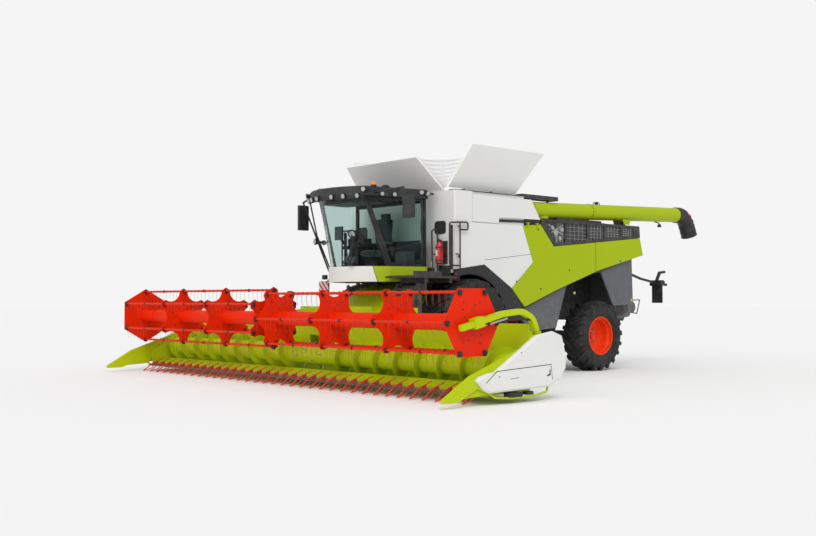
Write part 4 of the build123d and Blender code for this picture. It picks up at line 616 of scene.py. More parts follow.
# slide cylinders with their rods and clamps along the reel's arms, and pipe clips on the bends
maker = bmesh.new()
clamps = bmesh.new()
for x in (-5.41, 0.0, 5.41):
    # columns: piece, start and end as (aft, height), radius, sides
    for piece, start, end, radius, sides_count in ((maker, (-2.90, 1.345), (-3.36, 1.245), 0.022, 14),
                                                   (maker, (-3.36, 1.245), (-3.50, 1.215), 0.013, 12),
                                                   (clamps, (-2.86, 1.352), (-2.92, 1.341), 0.032, 14),
                                                   (clamps, (-3.33, 1.251), (-3.37, 1.243), 0.028, 14)):
        rod(piece, at(x, *start), at(x, *end), radius, sides_count)
    for aft, z in ((-2.42, 1.30), (-2.75, 1.42), (-3.05, 1.365)):
        brick(clamps, (x - 0.042, aft - 0.02, z - 0.01), (x + 0.042, aft + 0.02, z + 0.045))
solid("reel_slide_cylinders", maker, zinc_plate, "reel_arms")
solid("reel_arm_clamps", clamps, black_plastic, "reel_arms", 0.002)

# ---------------------------------------------------------------- housing, mudguards and platform
# A black window and a red extinguisher are set in the white housing behind the cab. Lamp
# plates stand by the mudguards, and a grated platform with rails leads to the cab door.
across, upward, forward = Vector((1, 0, 0)), Vector((0, 0, 1)), Vector((0, -1, 0))


def rounded(maker, middle, width, height, corner, thick, out=forward, wide_way=across, high_way=upward):
    """Plate with round corners, its back centred on a point, which grows outwards to its thickness."""
    loop = []
    for sx, sy, first in ((1, 1, 0), (-1, 1, 90), (-1, -1, 180), (1, -1, 270)):
        for k in range(7):
            turn = radians(first + 90 * k / 6)
            loop.append((sx * (width / 2 - corner) + corner * cos(turn),
                         sy * (height / 2 - corner) + corner * sin(turn)))
    back, front = ([maker.verts.new(middle + wide_way * u + high_way * v + out * rise) for u, v in loop]
                   for rise in (0.0, thick))
    bridge(maker, [back, front], closed=True, capped=True)


def lens(name, colour, glow=0.0):
    """Moulded lens with fine ribs and a faint emission of the given glow."""
    finish, shader, place = new_finish(name, Coat_Weight=0.6, Coat_Roughness=0.05, Specular_IOR_Level=0.6)
    ribs = ribs_along(place, "Z", 60.0)
    feed(shader, Base_Color=(ribs * 0.3).mix(shade(colour, 1.0), shade(colour, 0.7)),
         Roughness=0.14 + cloud(place, 20.0) * 0.05,
         Normal=relief(ribs, 0.15, 0.001))
    shader.inputs["Emission Color"].default_value = shade(colour, 1.0)
    shader.inputs["Emission Strength"].default_value = glow
    return finish


red_lens = lens("red_lens", (0.62, 0.012, 0.015), 0.05)
amber_lens = lens("amber_lens", (0.80, 0.24, 0.02), 0.05)
# the yellow reflectors are no lamps: their faint emission is a painted glow
yellow_lens_painted_glow = lens("yellow_lens_painted_glow", (0.62, 0.50, 0.05), 0.02)
white_lens = lens("white_lens", (0.42, 0.43, 0.43), 0.0)
extinguisher_red = sprayed("extinguisher_red", (0.60, 0.012, 0.014),
                           gloss=0.2, coat=0.6, dust=0.05, dusty_below=2.0)
wear_finish(dark_frame_paint, "access_platform", "access_ladder")
wear_finish(black_plastic, "front_mudguards")

trim = bmesh.new()
lit = bmesh.new()
for side in (1, -1):
    rounded(trim, at(side * 1.25, -0.432, 3.11), 0.335, 0.27, 0.07, 0.006)
    rounded(trim, at(side * 1.25, -0.438, 3.11), 0.29, 0.225, 0.05, 0.003)
    # corner post beside the housing, and a lamp plate over the mudguard
    slab(trim, [(-0.60, 2.24), (-0.53, 2.24), (-0.53, 3.14), (-0.60, 3.14)], side * 1.700, side * 1.725)
    brick(trim, (side * 1.40, -0.47, 2.005), (side * 1.82, -0.44, 2.125))
    brick(trim, (side * 1.52, -0.44, 2.05), (side * 1.62, -0.36, 2.12))
    rounded(lit, at(side * 1.69, -0.470, 2.065), 0.14, 0.085, 0.02, 0.020)
    disc_on_side(lit, side * 1.688, -0.42, 2.145, 0.018, side * 0.014, 16)
    tube_along(trim, path((1.70, -0.43, 2.55), (1.72, -0.40, 2.56), (1.72, -0.36, 2.54), (1.72, -0.33, 2.46),
                          (1.72, -0.32, 2.27), side=side), 0.012, 10)
solid("housing_trim", trim, black_plastic, "machine", 0.002)
solid("side_marker_lenses", lit, red_lens, "machine", 0.004)

maker = bmesh.new()
for side in (1, -1):
    rounded(maker, at(side * 1.53, -0.470, 2.065), 0.13, 0.085, 0.015, 0.018)
solid("front_marker_lenses", maker, white_lens, "machine", 0.004)

bottle = bmesh.new()
clasp = bmesh.new()
bottle_spot = at(1.34, -0.535, 2.59)
profile = [(0.0, -0.235), (0.060, -0.235), (0.082, -0.215), (0.085, -0.19), (0.085, 0.13), (0.075, 0.175),
           (0.045, 0.205), (0.022, 0.215), (0.022, 0.235), (0.0, 0.235)]
turns = [2 * pi * k / 28 for k in range(28)]
rings = [[bottle.verts.new(bottle_spot + Vector((r * cos(turn), r * sin(turn), z))) for r, z in profile]
         for turn in turns]
bridge(bottle, rings + rings[:1])
bmesh.ops.remove_doubles(bottle, verts=bottle.verts, dist=0.0005)
solid("extinguisher", bottle, extinguisher_red, "machine")
for level in (-0.16, 0.10):
    bmesh.ops.create_cone(clasp, segments=28, radius1=0.088, radius2=0.088, depth=0.03,
                          matrix=Matrix.Translation(bottle_spot + Vector((0, 0, level))))
    brick(clasp, (1.30, -0.46, 2.59 + level - 0.015), (1.38, -0.432, 2.59 + level + 0.015))
slab(clasp, [(-0.56, 2.825), (-0.51, 2.825), (-0.49, 2.85), (-0.60, 2.87), (-0.60, 2.855)], 1.325, 1.355)
tube_along(clasp, path((1.34, -0.52, 2.84), (1.42, -0.54, 2.82), (1.45, -0.56, 2.74), (1.435, -0.58, 2.60)),
           0.010, 8)
brick(clasp, (1.21, -0.445, 2.36), (1.47, -0.431, 2.83))
solid("extinguisher_bracket", clasp, dark_frame_paint, "machine", 0.002)

# labels stay blank
maker = bmesh.new()
rounded(maker, at(1.34, -0.6205, 2.58), 0.05, 0.12, 0.01, 0.001)
rounded(maker, at(1.25, -0.4315, 2.90), 0.20, 0.05, 0.01, 0.001)
solid("blank_labels", maker, white_enamel, "machine")

# platform grating and step treads
maker = bmesh.new()
for k in range(24):
    aft = -1.62 + 0.05 * k
    inner = 1.165 if aft > -0.75 else (0.99 if aft < -1.42 else 1.165 - 0.175 * (-0.75 - aft) / 0.67)
    brick(maker, (inner, aft, 2.100), (1.775, aft + 0.012, 2.108))
for x in (1.22, 1.40, 1.58, 1.75):
    brick(maker, (x, -1.62, 2.099), (x + 0.008, -0.46, 2.106))
solid("platform_grating", maker, dark_frame_paint, "machine")
maker = bmesh.new()
for step in range(6):
    level = 0.500 + step * 0.265 + 0.032
    for k in range(9):
        brick(maker, (1.16, -1.525 + 0.018 * k, level), (1.73, -1.519 + 0.018 * k, level + 0.006))
for x in (1.15, 1.74):
    tube_along(maker, path((x, -1.545, 1.90), (x, -1.575, 1.86), (x, -1.575, 0.62), (x, -1.545, 0.58)),
               0.011, 10)
solid("ladder_treads", maker, dark_frame_paint, "access_ladder")
maker = bmesh.new()
rounded(maker, at(1.235, -0.665, 2.36), 0.035, 0.10, 0.008, 0.006)
for side in (1, -1):
    for aft, z in ((3.42, 1.79), (5.56, 1.63)):
        disc_on_side(maker, side * 1.600, aft, z, 0.034, side * 0.010, 20)
# yellow reflectors, given a faint painted glow by their lens finish
solid("side_reflectors", maker, yellow_lens_painted_glow, "machine", 0.001)

# ---------------------------------------------------------------- cab
# A dark frame and roof carry tinted glass all round. Work lamps, beacons and mirrors hang
# from the roof, a two-tone skirt closes the front, and the seat has padded cushions.
roof_grey = moulded("roof_grey", (0.027, 0.029, 0.032), 0.42)
wear_finish(roof_grey, "cab_roof", "mirrors")
wear_finish(black_plastic, "cab_base", "cab_frame", "cab_door", "driver_controls")

tinted_glass, shader, place = new_finish("tinted_glass", Transmission_Weight=1.0, IOR=1.12)
feed(shader, Base_Color=cloud(place, 0.7).mix((0.80, 0.93, 0.90, 1), (0.84, 0.95, 0.92, 1)),
     Roughness=0.01 + cloud(place, 3.0) * 0.01,
     Normal=relief(cloud(place, 1.5, 1.0), 0.02, 0.001))
wear_finish(tinted_glass, "cab_windows", "cab_door_glass")

# the skirt is white in the middle and lime at its ends
skirt_paint, shader, place = new_finish("skirt_paint",
                                        Coat_Weight=0.1, Coat_Roughness=0.1, Specular_IOR_Level=0.3)
offset = along(place, "X").maths("ABSOLUTE")
level = along(place, "Z")
seam_lean, seam_foot, seam_half = 0.22, 1.225, 0.004
past_seam = offset + level * seam_lean - seam_foot
edge = past_seam.maths("GREATER_THAN", 0.0)
gap = 1.0 - past_seam.maths("ABSOLUTE").maths("GREATER_THAN", seam_half)
painted = edge.mix((0.80, 0.80, 0.78, 1), (0.390, 0.500, 0.001, 1))
feed(shader, Base_Color=gap.mix(painted, (0.03, 0.03, 0.03, 1)), Roughness=0.3 + cloud(place, 3.0) * 0.06,
     Normal=relief(cloud(place, 90.0, 2.0), 0.05, 0.002))
wear_finish(skirt_paint, "cab_skirt")

shells = bmesh.new()
lit = bmesh.new()
amber = bmesh.new()


def lamp(place_at, way, radius):
    """Round work lamp: a cup with a lens, looking along a direction."""
    # columns: piece, back and front along the lamp's axis, radius at each
    for target, low, high, first, second in ((shells, -0.07, 0.0, radius * 0.7, radius * 1.12),
                                             (shells, 0.0, 0.022, radius * 1.12, radius * 1.12),
                                             (lit, 0.020, 0.030, radius, radius * 0.88)):
        cone(target, place_at + way * (low + high) / 2, facing(way), first, second, high - low)


def roof_front(x):
    """How far forward the roof's bowed front edge lies at a distance from the middle."""
    return -2.44 + 0.29 * (x / 0.90) ** 2


for x in (-0.80, -0.52, -0.24, 0.24, 0.52, 0.80):
    lamp(at(x, roof_front(x) - 0.030, 3.680), Vector((0.18 * x, -1, -0.25)).normalized(), 0.048)
    brick(shells, (x - 0.02, roof_front(x) - 0.01, 3.68), (x + 0.02, roof_front(x) + 0.06, 3.72))
for side in (1, -1):
    for aft in (-1.78, -1.50):
        x = side * (0.90 + 0.25 * (aft + 2.15) / 1.35)
        lamp(at(x + side * 0.03, aft, 3.735), Vector((side, -0.35, -0.2)).normalized(), 0.042)
    # ear lamps at the roof's front corners and rear corners
    for x, aft, z in ((side * 0.93, -2.20, 3.80), (side * 1.17, -0.86, 3.81), (side * 1.20, -0.72, 3.79)):
        lamp(at(x, aft, z), Vector((side * 0.55, -1, -0.1)).normalized(), 0.046)
        brick(shells, (x - 0.03, aft + 0.02, z - 0.02), (x + 0.03, aft + 0.13, z + 0.02))
    # beacon on a short stem, and an aerial foot
    foot = at(side * 0.88, -1.90, 3.88)
    cone(shells, foot + Vector((0, 0, 0.015)), Matrix(), 0.062, 0.055, 0.03)
    cone(amber, foot + Vector((0, 0, 0.052)), Matrix(), 0.062, 0.055, 0.045)
    ball(amber, foot + Vector((0, 0, 0.074)), 0.055, 24, 10, (1, 1, 0.55))
    ball(shells, at(side * 0.92, -1.62, 3.885), 0.075, 20, 10, (1, 1.2, 0.6))
# sun visor lip under the roof's front edge
for k in range(20):
    first, second = -0.88 + 1.76 * k / 20, -0.88 + 1.76 * (k + 1) / 20
    verts = [shells.verts.new(at(x, roof_front(x) + d, z)) for x, d, z in
             ((first, -0.015, 3.70), (second, -0.015, 3.70), (second, -0.005, 3.625), (first, -0.005, 3.625),
              (first, 0.02, 3.70), (second, 0.02, 3.70), (second, 0.02, 3.625), (first, 0.02, 3.625))]
    for loop in ((0, 1, 2, 3), (7, 6, 5, 4), (0, 4, 5, 1), (3, 2, 6, 7)):
        shells.faces.new([verts[j] for j in loop])
# lamp pod on the right mirror's stay
lamp(at(-1.17, -1.80, 2.87), Vector((-0.2, -1, 0)).normalized(), 0.060)
lamp(at(-1.06, -1.66, 2.85), Vector((0.5, -1, 0)).normalized(), 0.048)
brick(shells, (-1.22, -1.80, 2.84), (-1.02, -1.66, 2.88))
tube_along(shells, path((-1.00, -2.08, 3.72), (-1.07, -1.84, 3.0), (-0.98, -1.56, 2.30)), 0.016, 10)
# wiper on the screen
tube_along(shells, path((0.36, -2.045, 2.315), (0.36, -2.115, 2.42), (0.37, -2.235, 2.86),
                        (0.40, -2.26, 2.955), (0.46, -2.27, 2.99), (0.54, -2.25, 2.98), (0.585, -2.225, 2.93),
                        (0.60, -2.08, 2.50)), 0.010, 8)
brick(shells, (0.33, -2.075, 2.31), (0.40, -2.02, 2.36))
solid("cab_lamp_housings", shells, black_plastic, "machine", 0.002)
solid("cab_work_lamps", lit, white_lens, "machine")
solid("beacons", amber, amber_lens, "machine")

# mirror glasses face the driver
mirror_glass = bright_metal("mirror_glass", (0.80, 0.82, 0.84), 0.03, 0.0)
maker = bmesh.new()
rounded(maker, at(2.14, -2.054, 3.385), 0.25, 0.39, 0.03, 0.004, -forward)
rounded(maker, at(-1.33, -1.886, 3.375), 0.058, 0.49, 0.02, 0.004, -forward)
solid("mirror_glasses", maker, mirror_glass, "machine")

# two rails and the handle of the cab door
toe = atan2(0.22, 0.74)
along_door = Vector((-sin(toe), -cos(toe), 0))
out_door = Vector((cos(toe), -sin(toe), 0))
door_root = at(1.120, -0.760, 0.0)


def on_door(reach, z, out=0.0):
    """Point at a distance from the door's hinge, a height, and a distance out of its face."""
    return door_root + along_door * reach + out_door * out + Vector((0, 0, z))


maker = bmesh.new()
for start, end in (((0.10, 2.78), (0.83, 2.62)), ((0.05, 2.42), (0.74, 2.36))):
    tube_along(maker, [on_door(*start, 0.004), on_door(start[0] + 0.01, start[1], 0.035),
                       on_door(*end, 0.035), on_door(*end, 0.004)], 0.011, 10)
rounded(maker, on_door(0.71, 2.60), 0.07, 0.17, 0.02, 0.016, out_door, along_door)
rounded(maker, on_door(0.71, 2.60, 0.016), 0.03, 0.12, 0.012, 0.018, out_door, along_door)
solid("cab_door_fittings", maker, black_plastic, "cab_door", 0.002)

seat_cloth, shader, place = new_finish("seat_cloth", Specular_IOR_Level=0.2, Sheen_Weight=0.3)
weave = ribs_along(place, "DIAGONAL", 180.0)
feed(shader, Base_Color=cloud(place, 4.0).mix((0.030, 0.042, 0.045, 1), (0.050, 0.066, 0.068, 1)),
     Roughness=0.8 + weave * 0.1, Normal=relief(weave, 0.3, 0.001))


def cushion(name, middle, half, lean=0.0, channels=()):
    """Stuffed pad: a crowned closed form whose sides pull in, with sewn channels across its top."""
    maker = bmesh.new()
    bmesh.ops.create_cube(maker, size=2.0)
    bmesh.ops.subdivide_edges(maker, edges=maker.edges, cuts=15, use_grid_fill=True)
    turn = Matrix.Rotation(lean, 3, "X")
    for vert in maker.verts:
        u, v, w = vert.co
        norm = (abs(u) ** 5 + abs(v) ** 5 + abs(w) ** 5) ** 0.2
        u, v, w = u / norm, v / norm, w / norm
        pull = 1.0 - 0.05 * (1 - v * v) * (1 - w * w)
        crown = 0.22 * (1 - u * u) * (1 - v * v) if w > 0 else 0.0
        sewn = sum(0.10 * pow(2.718, -((v - line) / 0.05) ** 2) for line in channels) if w > 0.2 else 0.0
        vert.co = middle + turn @ Vector((u * half[0] * pull, v * half[1], (w + crown - sewn) * half[2]))
    pad = finished_mesh(name, maker, seat_cloth, "machine", 60)


cushion("seat_cushion", at(0, -1.13, 2.585), (0.255, 0.235, 0.062), radians(-4), (-0.35, 0.35))
cushion("seat_back", at(0, -0.895, 2.99), (0.235, 0.34, 0.058), radians(100), (-0.45, 0.0, 0.45))
cushion("seat_headrest", at(0, -0.825, 3.375), (0.13, 0.075, 0.045), radians(97))
for side, word in ((1, "left"), (-1, "right")):
    cushion(f"seat_armrest_{word}", at(side * 0.31, -1.12, 2.80), (0.038, 0.205, 0.028))
maker = bmesh.new()
slab(maker, [(-1.27, 2.29), (-0.92, 2.29), (-0.95, 2.40), (-1.02, 2.50), (-0.88, 2.52), (-1.36, 2.52),
             (-1.24, 2.48), (-1.22, 2.40)], -0.19, 0.19)
slab(maker, [(-0.93, 2.50), (-0.86, 2.50), (-0.795, 3.30), (-0.83, 3.32)], -0.20, 0.20)
for side in (1, -1):
    slab(maker, [(-0.96, 2.55), (-0.90, 2.55), (-0.90, 2.79), (-1.28, 2.785), (-1.28, 2.765), (-0.96, 2.75)],
         side * 0.29, side * 0.33)
    rod(maker, at(side * 0.06, -0.845, 3.28), at(side * 0.06, -0.83, 3.36), 0.008, 10)
seat_frame = solid("seat_frame", maker, black_plastic, "machine", 0.008)
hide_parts("operator_chair")

# controls: screen, armrest keys, drive lever, pedals, roof console and side consoles
maker = bmesh.new()
rounded(maker, at(-0.465, -1.7365, 3.02), 0.24, 0.26, 0.015, 0.004)
for k in range(5):
    rounded(maker, at(-0.52 + 0.03 * k, -1.42, 2.762), 0.018, 0.05, 0.004, 0.008, upward, across, forward)
slab(maker, [(-1.45, 2.76), (-1.41, 2.76), (-1.39, 2.90), (-1.42, 2.93), (-1.47, 2.90)], -0.49, -0.44)
for x in (-0.12, 0.02, 0.14):
    slab(maker, [(-1.90, 2.38), (-1.88, 2.36), (-1.80, 2.49), (-1.82, 2.51)], x, x + 0.08)
brick(maker, (-0.70, -1.95, 3.60), (0.70, -1.30, 3.68))
brick(maker, (0.52, -1.02, 2.30), (0.86, -0.78, 2.62))
brick(maker, (-0.88, -1.02, 2.30), (-0.52, -0.78, 2.95))
solid("cab_controls", maker, grey_plastic, "machine", 0.006)

# warning plate on the right side, seen past the cab
warning_stripes, shader, place = new_finish("warning_stripes", Coat_Weight=0.3, Coat_Roughness=0.1)
bands_per_metre = 7.0
slanted = (along(place, "X").maths("ABSOLUTE") - along(place, "Z")) * bands_per_metre
bands = slanted.maths("FRACT").maths("GREATER_THAN", 0.5)
feed(shader, Base_Color=bands.mix((0.78, 0.78, 0.76, 1), (0.55, 0.012, 0.03, 1)),
     Roughness=0.35 + cloud(place, 6.0) * 0.1, Normal=relief(cloud(place, 60.0), 0.03, 0.001))
maker = bmesh.new()
frame_mesh = bmesh.new()
rounded(maker, at(-1.65, -1.215, 1.86), 0.34, 0.34, 0.015, 0.004)
rounded(frame_mesh, at(-1.65, -1.195, 1.86), 0.36, 0.36, 0.02, 0.018)
tube_along(frame_mesh, path((-1.03, -1.20, 2.07), (-1.50, -1.19, 2.07), (-1.62, -1.19, 2.0)), 0.016, 10)
rounded(frame_mesh, at(-1.60, -1.20, 2.13), 0.14, 0.10, 0.02, 0.05)
solid("warning_plate", maker, warning_stripes, "machine")
solid("warning_plate_bracket", frame_mesh, black_plastic, "machine", 0.002)

# ---------------------------------------------------------------- grain tank lids
# Four lids stand open round the tank's mouth. Pleated fabric closes the corners between
# the front lid and the side lids.
# the lids' white is lighter than the body's enamel so that lids leaning away from the lamps still read bright:
# painted light
lid_white = sprayed("lid_white", (0.90, 0.90, 0.885), gloss=0.35, coat=0.1, dust=0.04, dusty_below=2.6)
wear_finish(lid_white, "tank_lid_front", "tank_lid_rear", "tank_lid_left", "tank_lid_right")

gusset_cloth, shader, place = new_finish("gusset_cloth", Specular_IOR_Level=0.2, Sheen_Weight=0.2)
weave = ribs_along(place, "Z", 260.0)
feed(shader, Base_Color=cloud(place, 3.0).mix((0.78, 0.80, 0.81, 1), (0.84, 0.85, 0.85, 1)),
     Roughness=0.7 + weave * 0.1, Normal=relief(weave, 0.2, 0.001))


def between(first, second, share):
    """Point part of the way from one point to another."""
    return first + (second - first) * share


rows, columns = 48, 16
sag_depth, pleat_depth, pleat_count = 0.012, 0.006, 7
gather_across, gather_along = 1.04, 1.02
for side, word in ((1, "left"), (-1, "right")):
    valley_foot, valley_top = at(side * 1.372, -0.405, 3.925), at(side * 1.40, -0.56, 4.485)
    front_foot, front_top = at(side * 1.305, -0.392, 3.912), at(side * 1.145, -0.955, 4.515)
    side_foot, side_top = at(side * 1.462, -0.424, 3.955), at(side * 1.775, -0.245, 4.535)
    for name, lid, foot, top in ((f"gusset_front_{word}", "front", front_foot, front_top),
                                 (f"gusset_side_{word}", word, side_foot, side_top)):
        maker = bmesh.new()
        grid = []
        for i in range(rows + 1):
            rise = i / rows
            near, far = between(foot, top, rise), between(valley_foot, valley_top, rise)
            line = []
            for j in range(columns + 1):
                share = j / columns
                sag = sag_depth * rise * sin(pi * share)
                pleat = pleat_depth * sin(2 * pi * pleat_count * rise) * sin(pi * share) * rise
                line.append(maker.verts.new(between(near, far, share) + Vector((-side * pleat, pleat, -sag))))
            grid.append(line)
        bridge(maker, grid)
        cut_area = sum(face.calc_area() for face in maker.faces)
        cut_width, cut_length = (top - valley_top).length * gather_across, (top - foot).length * gather_along
        flap = finished_mesh(name, maker, gusset_cloth, "machine", 70)
        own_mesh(flap)

# folded edges and stiffening channels of the lids
lean_front, lean_side = radians(47), radians(62)


def on_front_lid(x, reach, foot=3.89):
    """Point on the front lid, at a distance up its slope."""
    return at(x, -0.370 - reach * cos(lean_front), foot + reach * sin(lean_front))


maker = bmesh.new()
for x in (-0.62, 0.0, 0.62):
    rod(maker, on_front_lid(x, 0.04), on_front_lid(x * 0.9, 0.84), 0.007, 8)
rod(maker, on_front_lid(-1.13, 0.88, 3.885), on_front_lid(1.13, 0.88, 3.885), 0.012, 10)
solid("front_lid_edges", maker, lid_white, "tank_lid_front")
for side, word in ((1, "left"), (-1, "right")):
    maker = bmesh.new()

    def on_lid(reach, aft, lift=0.0):
        """Point on this side lid: a distance up its slope, behind the axle, and off its upper face."""
        return at(side * (1.45 + reach * cos(lean_side) + lift * sin(lean_side)), aft,
                  3.93 + reach * sin(lean_side) - lift * cos(lean_side))

    rod(maker, on_lid(0.975, -0.17, 0.006), on_lid(0.975, 2.01, 0.006), 0.0095, 10)
    for share in (0.5, 0.7):
        rod(maker, on_lid(0.05, -0.42 + 2.02 * share, -0.028), on_lid(0.95, -0.17 + 2.18 * share, -0.028),
            0.007, 8)
    solid(f"side_lid_edges_{word}", maker, lid_white, f"tank_lid_{word}")

# trim at the top of the tank walls, and a thin dark upright strip down the groove where the
# front housing's shoulder ends, a painted shadow of that groove
maker = bmesh.new()
for side in (1, -1):
    slab(maker, [(-0.43, 3.862), (1.66, 3.862), (1.66, 3.874), (-0.43, 3.874)], side * 1.50, side * 1.672)
    for aft in (-0.02, 0.80, 1.60):
        brick(maker, (side * 1.44, aft, 3.862), (side * 1.49, aft + 0.06, 3.915))
    # thin dark upright strip in the groove: painted shadow
    slab(maker, [(0.055, 3.235), (0.0645, 3.235), (0.0645, 3.80), (0.055, 3.80)],
         side * 1.6395, side * 1.6405)
solid("tank_edge_trim_and_groove_shadow", maker, black_plastic, "machine", 0.002)

# ---------------------------------------------------------------- unloading auger and engine deck
# A long lime tube lies along the machine's left side on a rest, with a black spout at its
# end. Under it the dark engine deck carries covers, a cooler box and small fittings.
wear_finish(lime_enamel, "unloading_tube")
wear_finish(black_plastic, "unloading_spout")
rise = radians(2)
tube_x, tube_aft, bend_aft = 1.45, 2.07, 7.755
tube_start = at(tube_x, tube_aft, 3.604)
tube_way = Vector((0, cos(rise), sin(rise)))
flange_joint = 2.0325

maker = bmesh.new()
fittings = bmesh.new()
for distance, radius in ((0.03, 0.190), (2.02, 0.190), (2.045, 0.190), (5.55, 0.186)):
    cone(maker, tube_start + tube_way * distance, facing(tube_way), radius, radius, 0.012, 48)
for k in range(16):
    turn = 2 * pi * k / 16
    spot = tube_start + tube_way * flange_joint + Vector((0.187 * cos(turn), 0, 0.187 * sin(turn)))
    rod(fittings, spot - tube_way * 0.02, spot + tube_way * 0.02, 0.008, 6)
# lime rest arm under the tube
for x in (1.30, 1.585):
    slab(maker, [(5.30, 3.44), (5.50, 3.44), (5.56, 3.56), (5.24, 3.56)], x, x + 0.015)
solid("tube_flanges", maker, lime_enamel, "unloading_auger", 0.001)
# hose clip and bracket on top, and the work lamp beneath
tube_along(fittings, path((tube_x, 4.30, 3.86), (tube_x, 4.32, 3.905), (tube_x, 4.52, 3.915),
                          (tube_x, 4.56, 3.865)), 0.010, 8)
brick(fittings, (1.42, 4.40, 3.865), (1.48, 4.46, 3.93))
tube_along(fittings, path((tube_x, 6.72, 3.59), (tube_x, 6.80, 3.575), (tube_x, 6.93, 3.56),
                          (tube_x, 6.95, 3.53)), 0.014, 8)
solid("tube_fittings", fittings, black_plastic, "unloading_auger", 0.001)
maker = bmesh.new()
# columns: height, lower and upper radius, depth
for z, low_radius, high_radius, depth in ((3.51, 0.052, 0.030, 0.05), (3.4725, 0.052, 0.052, 0.025)):
    cone(maker, at(tube_x, 6.95, z), Matrix(), low_radius, high_radius, depth)
solid("tube_lamp", maker, black_plastic, "unloading_auger", 0.002)

# warning bands on the spout's rear, folded lips at its mouth
bend_radius, bend_angle, band_radius, lip_inside = 0.42, radians(68), 0.2012, 0.199
down_way = Vector((0, sin(rise), -cos(rise)))
spout_centre = tube_start + tube_way * ((bend_aft - tube_aft) / cos(rise)) + down_way * bend_radius


def on_bend(turn):
    """Middle of the spout's tube where it has turned down by an angle."""
    return spout_centre - down_way * (bend_radius * cos(turn)) + tube_way * (bend_radius * sin(turn))


maker = bmesh.new()
swings = [radians(-75 + 150 * j / 16) for j in range(17)]
for low, high in ((24, 33), (42, 51), (60, 68)):
    grid = []
    for i in range(7):
        middle = on_bend(radians(low + (high - low) * i / 6))
        outward = (middle - spout_centre).normalized()
        grid.append([maker.verts.new(middle + outward * (band_radius * cos(swing))
                                     + across * (band_radius * sin(swing)))
                     for swing in swings])
    bridge(maker, grid)
solid("spout_warning_bands", maker, warning_stripes, "unloading_auger", smooth=60)
maker = bmesh.new()
mouth_way = tube_way * cos(bend_angle) + down_way * sin(bend_angle)
mouth_turn = facing(mouth_way).to_3x3()
for distance, radius in ((0.01, 0.206), (0.150, 0.204), (0.280, 0.207)):
    section = [(lip_inside, distance - 0.008), (radius, distance - 0.008), (radius, distance + 0.008),
               (lip_inside, distance + 0.008)]
    rings = []
    for k in range(40):
        turn = 2 * pi * k / 40
        rim_way = mouth_turn @ Vector((cos(turn), sin(turn), 0))
        rings.append([maker.verts.new(on_bend(bend_angle) + mouth_way * reach + rim_way * r)
                      for r, reach in section])
    bridge(maker, rings + rings[:1], closed=True)
solid("spout_lips", maker, black_plastic, "unloading_auger")

# deck cover, cooler box on its posts, louvres, lifting loops and the exhaust
maker = bmesh.new()
brick(maker, (1.02, 2.82, 3.422), (1.60, 4.42, 3.47))
slab(maker, [(1.72, 3.842), (2.92, 3.842), (2.92, 3.935), (1.72, 3.935)], 1.28, 1.56)
for aft in (2.0, 2.9):
    brick(maker, (1.22, aft, 3.40), (1.255, aft + 0.05, 3.935))
    brick(maker, (1.22, aft, 3.88), (1.30, aft + 0.05, 3.92))
for k in range(22):
    brick(maker, (-0.86, 2.15 + 0.13 * k, 3.550), (0.80, 2.15 + 0.13 * k + 0.05, 3.562))
for k in range(14):
    brick(maker, (-1.42, 2.45 + 0.125 * k, 3.66), (-0.96, 2.45 + 0.125 * k + 0.05, 3.672))
for side in (1, -1):
    tube_along(maker, path((1.60, 4.98, 3.40), (1.60, 4.985, 3.50), (1.60, 5.03, 3.53), (1.60, 5.09, 3.50),
                           (1.60, 5.095, 3.40), side=side), 0.011, 8)
tube_along(maker, path((-0.55, 3.40, 3.54), (-0.55, 3.40, 3.80), (-0.55, 3.46, 3.87), (-0.55, 3.62, 3.90)),
           0.055, 20)
solid("deck_covers", maker, dark_frame_paint, "machine", 0.003)

# ---------------------------------------------------------------- rear end
# Slatted hood, lamp carriers with red lenses, and the chopper with its guard loops and
# spreader plates close the rear of the machine.
wear_finish(grey_enamel, "rear_hood", "straw_chopper")
wear_finish(black_plastic, "tail_lamp_carriers")

maker = bmesh.new()
lit = bmesh.new()
drives = bmesh.new()
for k in range(7):
    level = 2.80 + 0.085 * k
    face = 5.93 - 0.11 * (level - 2.715) / 0.415
    slab(maker, [(face + 0.012, level), (face + 0.02, level + 0.02), (face - 0.02, level + 0.035),
                 (face - 0.02, level)], -1.30, 1.30)
for side in (1, -1):
    x = side * 1.33
    # lamps on the carriers
    rounded(lit, at(x - side * 0.10, 7.062, 2.055), 0.09, 0.09, 0.012, 0.022, -forward)
    rounded(lit, at(x + side * 0.02, 7.062, 2.055), 0.09, 0.09, 0.012, 0.022, -forward)
    rounded(lit, at(x, 7.032, 1.66), 0.12, 0.05, 0.01, 0.006, -forward)
    tube_along(maker, path((x, 7.20, 2.06), (x, 7.33, 2.055), (x, 7.38, 2.02)), 0.014, 8)
    rod(maker, at(x - 0.03, 7.38, 2.02), at(x + 0.03, 7.38, 2.02), 0.032, 14)
    # guard loop beside the chopper
    tube_along(maker, path((1.20, 6.00, 1.63), (1.20, 6.45, 1.635), (1.20, 6.33, 1.30), (1.20, 5.98, 1.34),
                           side=side), 0.013, 10)
    # drive cover, pulley and brackets on the chopper's side
    disc_on_side(maker, side * 1.240, 5.55, 1.62, 0.17, side * 0.05, 40)
    disc_on_side(maker, side * 1.290, 5.55, 1.62, 0.09, side * 0.03, 24)
    disc_on_side(drives, side * 1.02, 6.15, 1.46, 0.15, side * 0.17, 32, 0.94)
    disc_on_side(drives, side * 1.19, 6.15, 1.46, 0.09, side * 0.03, 24)
    slab(maker, [(5.32, 1.75), (5.85, 1.72), (5.90, 1.36), (5.62, 1.25), (5.34, 1.30)],
         side * 1.240, side * 1.255)
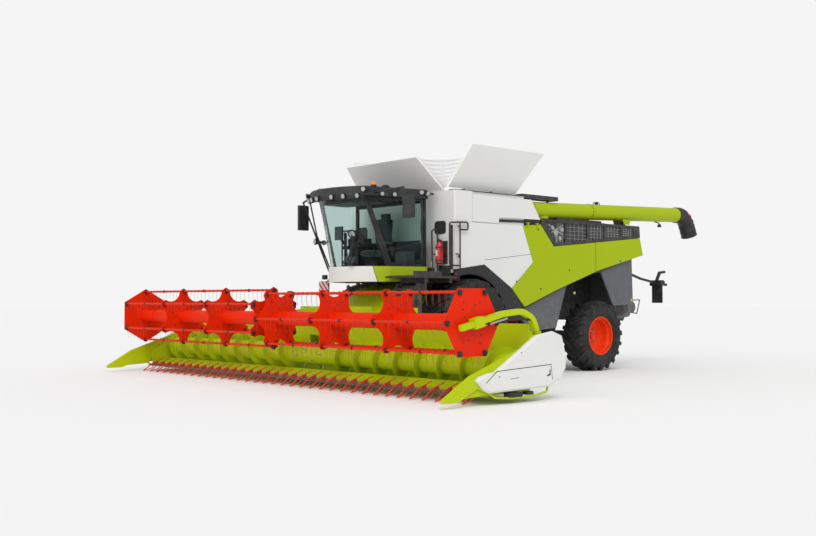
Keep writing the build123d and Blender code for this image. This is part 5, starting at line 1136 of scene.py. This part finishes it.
for k in range(9):
    x = -1.08 + 0.27 * k
    slab(maker, [(6.02, 1.30), (6.09, 1.42), (6.06, 1.60), (6.03, 1.42)], x, x + 0.012)
    slab(maker, [(5.45, 1.20), (5.98, 1.21), (5.92, 1.12), (5.52, 1.13)], x, x + 0.010)
solid("rear_slats_and_guards", maker, dark_frame_paint, "machine", 0.002)
solid("chopper_drives", drives, grey_enamel, "machine", 0.004)
solid("tail_lenses", lit, red_lens, "machine", 0.003)

# ---------------------------------------------------------------- floor, light and camera
# A pale seamless floor under an even sky and two soft lamps. What the camera sees
# beyond the floor is as bright as the floor itself.
maker = bmesh.new()
floor_half = 220.0
maker.faces.new([maker.verts.new((x * floor_half, y * floor_half, 0))
                 for x, y in ((-1, -1), (1, -1), (1, 1), (-1, 1))])
mesh = bpy.data.meshes.new("studio_floor")
maker.to_mesh(mesh)
maker.free()
floor = bpy.data.objects.new("studio_floor", mesh)
bpy.context.scene.collection.objects.link(floor)
floor_finish, shader, place = new_finish("studio_floor", Base_Color=(0.955, 0.955, 0.955, 1), Roughness=1.0,
                                         Specular_IOR_Level=0.0)
mesh.materials.append(floor_finish)

world = bpy.data.worlds.new("studio")
bpy.context.scene.world = world
world.use_nodes = True
tree = world.node_tree
sky = tree.nodes["Background"]
sky.inputs["Color"].default_value = (0.95, 0.95, 0.955, 1)
sky.inputs["Strength"].default_value = 0.66
seen = Wire(tree).node("ShaderNodeLightPath", output="Is Camera Ray")
backdrop = seen.node("ShaderNodeBackground", {}, {"Color": (0.913, 0.913, 0.913, 1), "Strength": 1.0})
joined = seen.node("ShaderNodeMixShader", {}, {0: seen, 1: Wire(tree, sky.outputs[0]), 2: backdrop})
tree.links.new(joined.socket, tree.nodes["World Output"].inputs["Surface"])

# columns: name, where it shines from, strength, softness in degrees
for name, spot, power, softness in (("key", (14, -10, 18), 1.15, 34.0), ("fill", (2, -20, 3), 0.80, 60.0)):
    lamp_data = bpy.data.lights.new(name, "SUN")
    lamp_data.energy = power
    lamp_data.angle = radians(softness)
    holder = bpy.data.objects.new(name, lamp_data)
    bpy.context.scene.collection.objects.link(holder)
    holder.location = spot
    holder.rotation_euler = (-Vector(spot)).to_track_quat("-Z", "Y").to_euler()

optics = bpy.data.cameras.new("camera")
optics.lens = 45.49
optics.sensor_width = 36.0
optics.clip_end = 500.0
camera = bpy.data.objects.new("camera", optics)
bpy.context.scene.collection.objects.link(camera)
camera.location = (16.542, axle_y - 14.936, 1.608)
camera.rotation_euler = (radians(90 + 1.833), 0.0, radians(48.308))
bpy.context.scene.camera = camera
bpy.context.scene.view_settings.view_transform = "Standard"
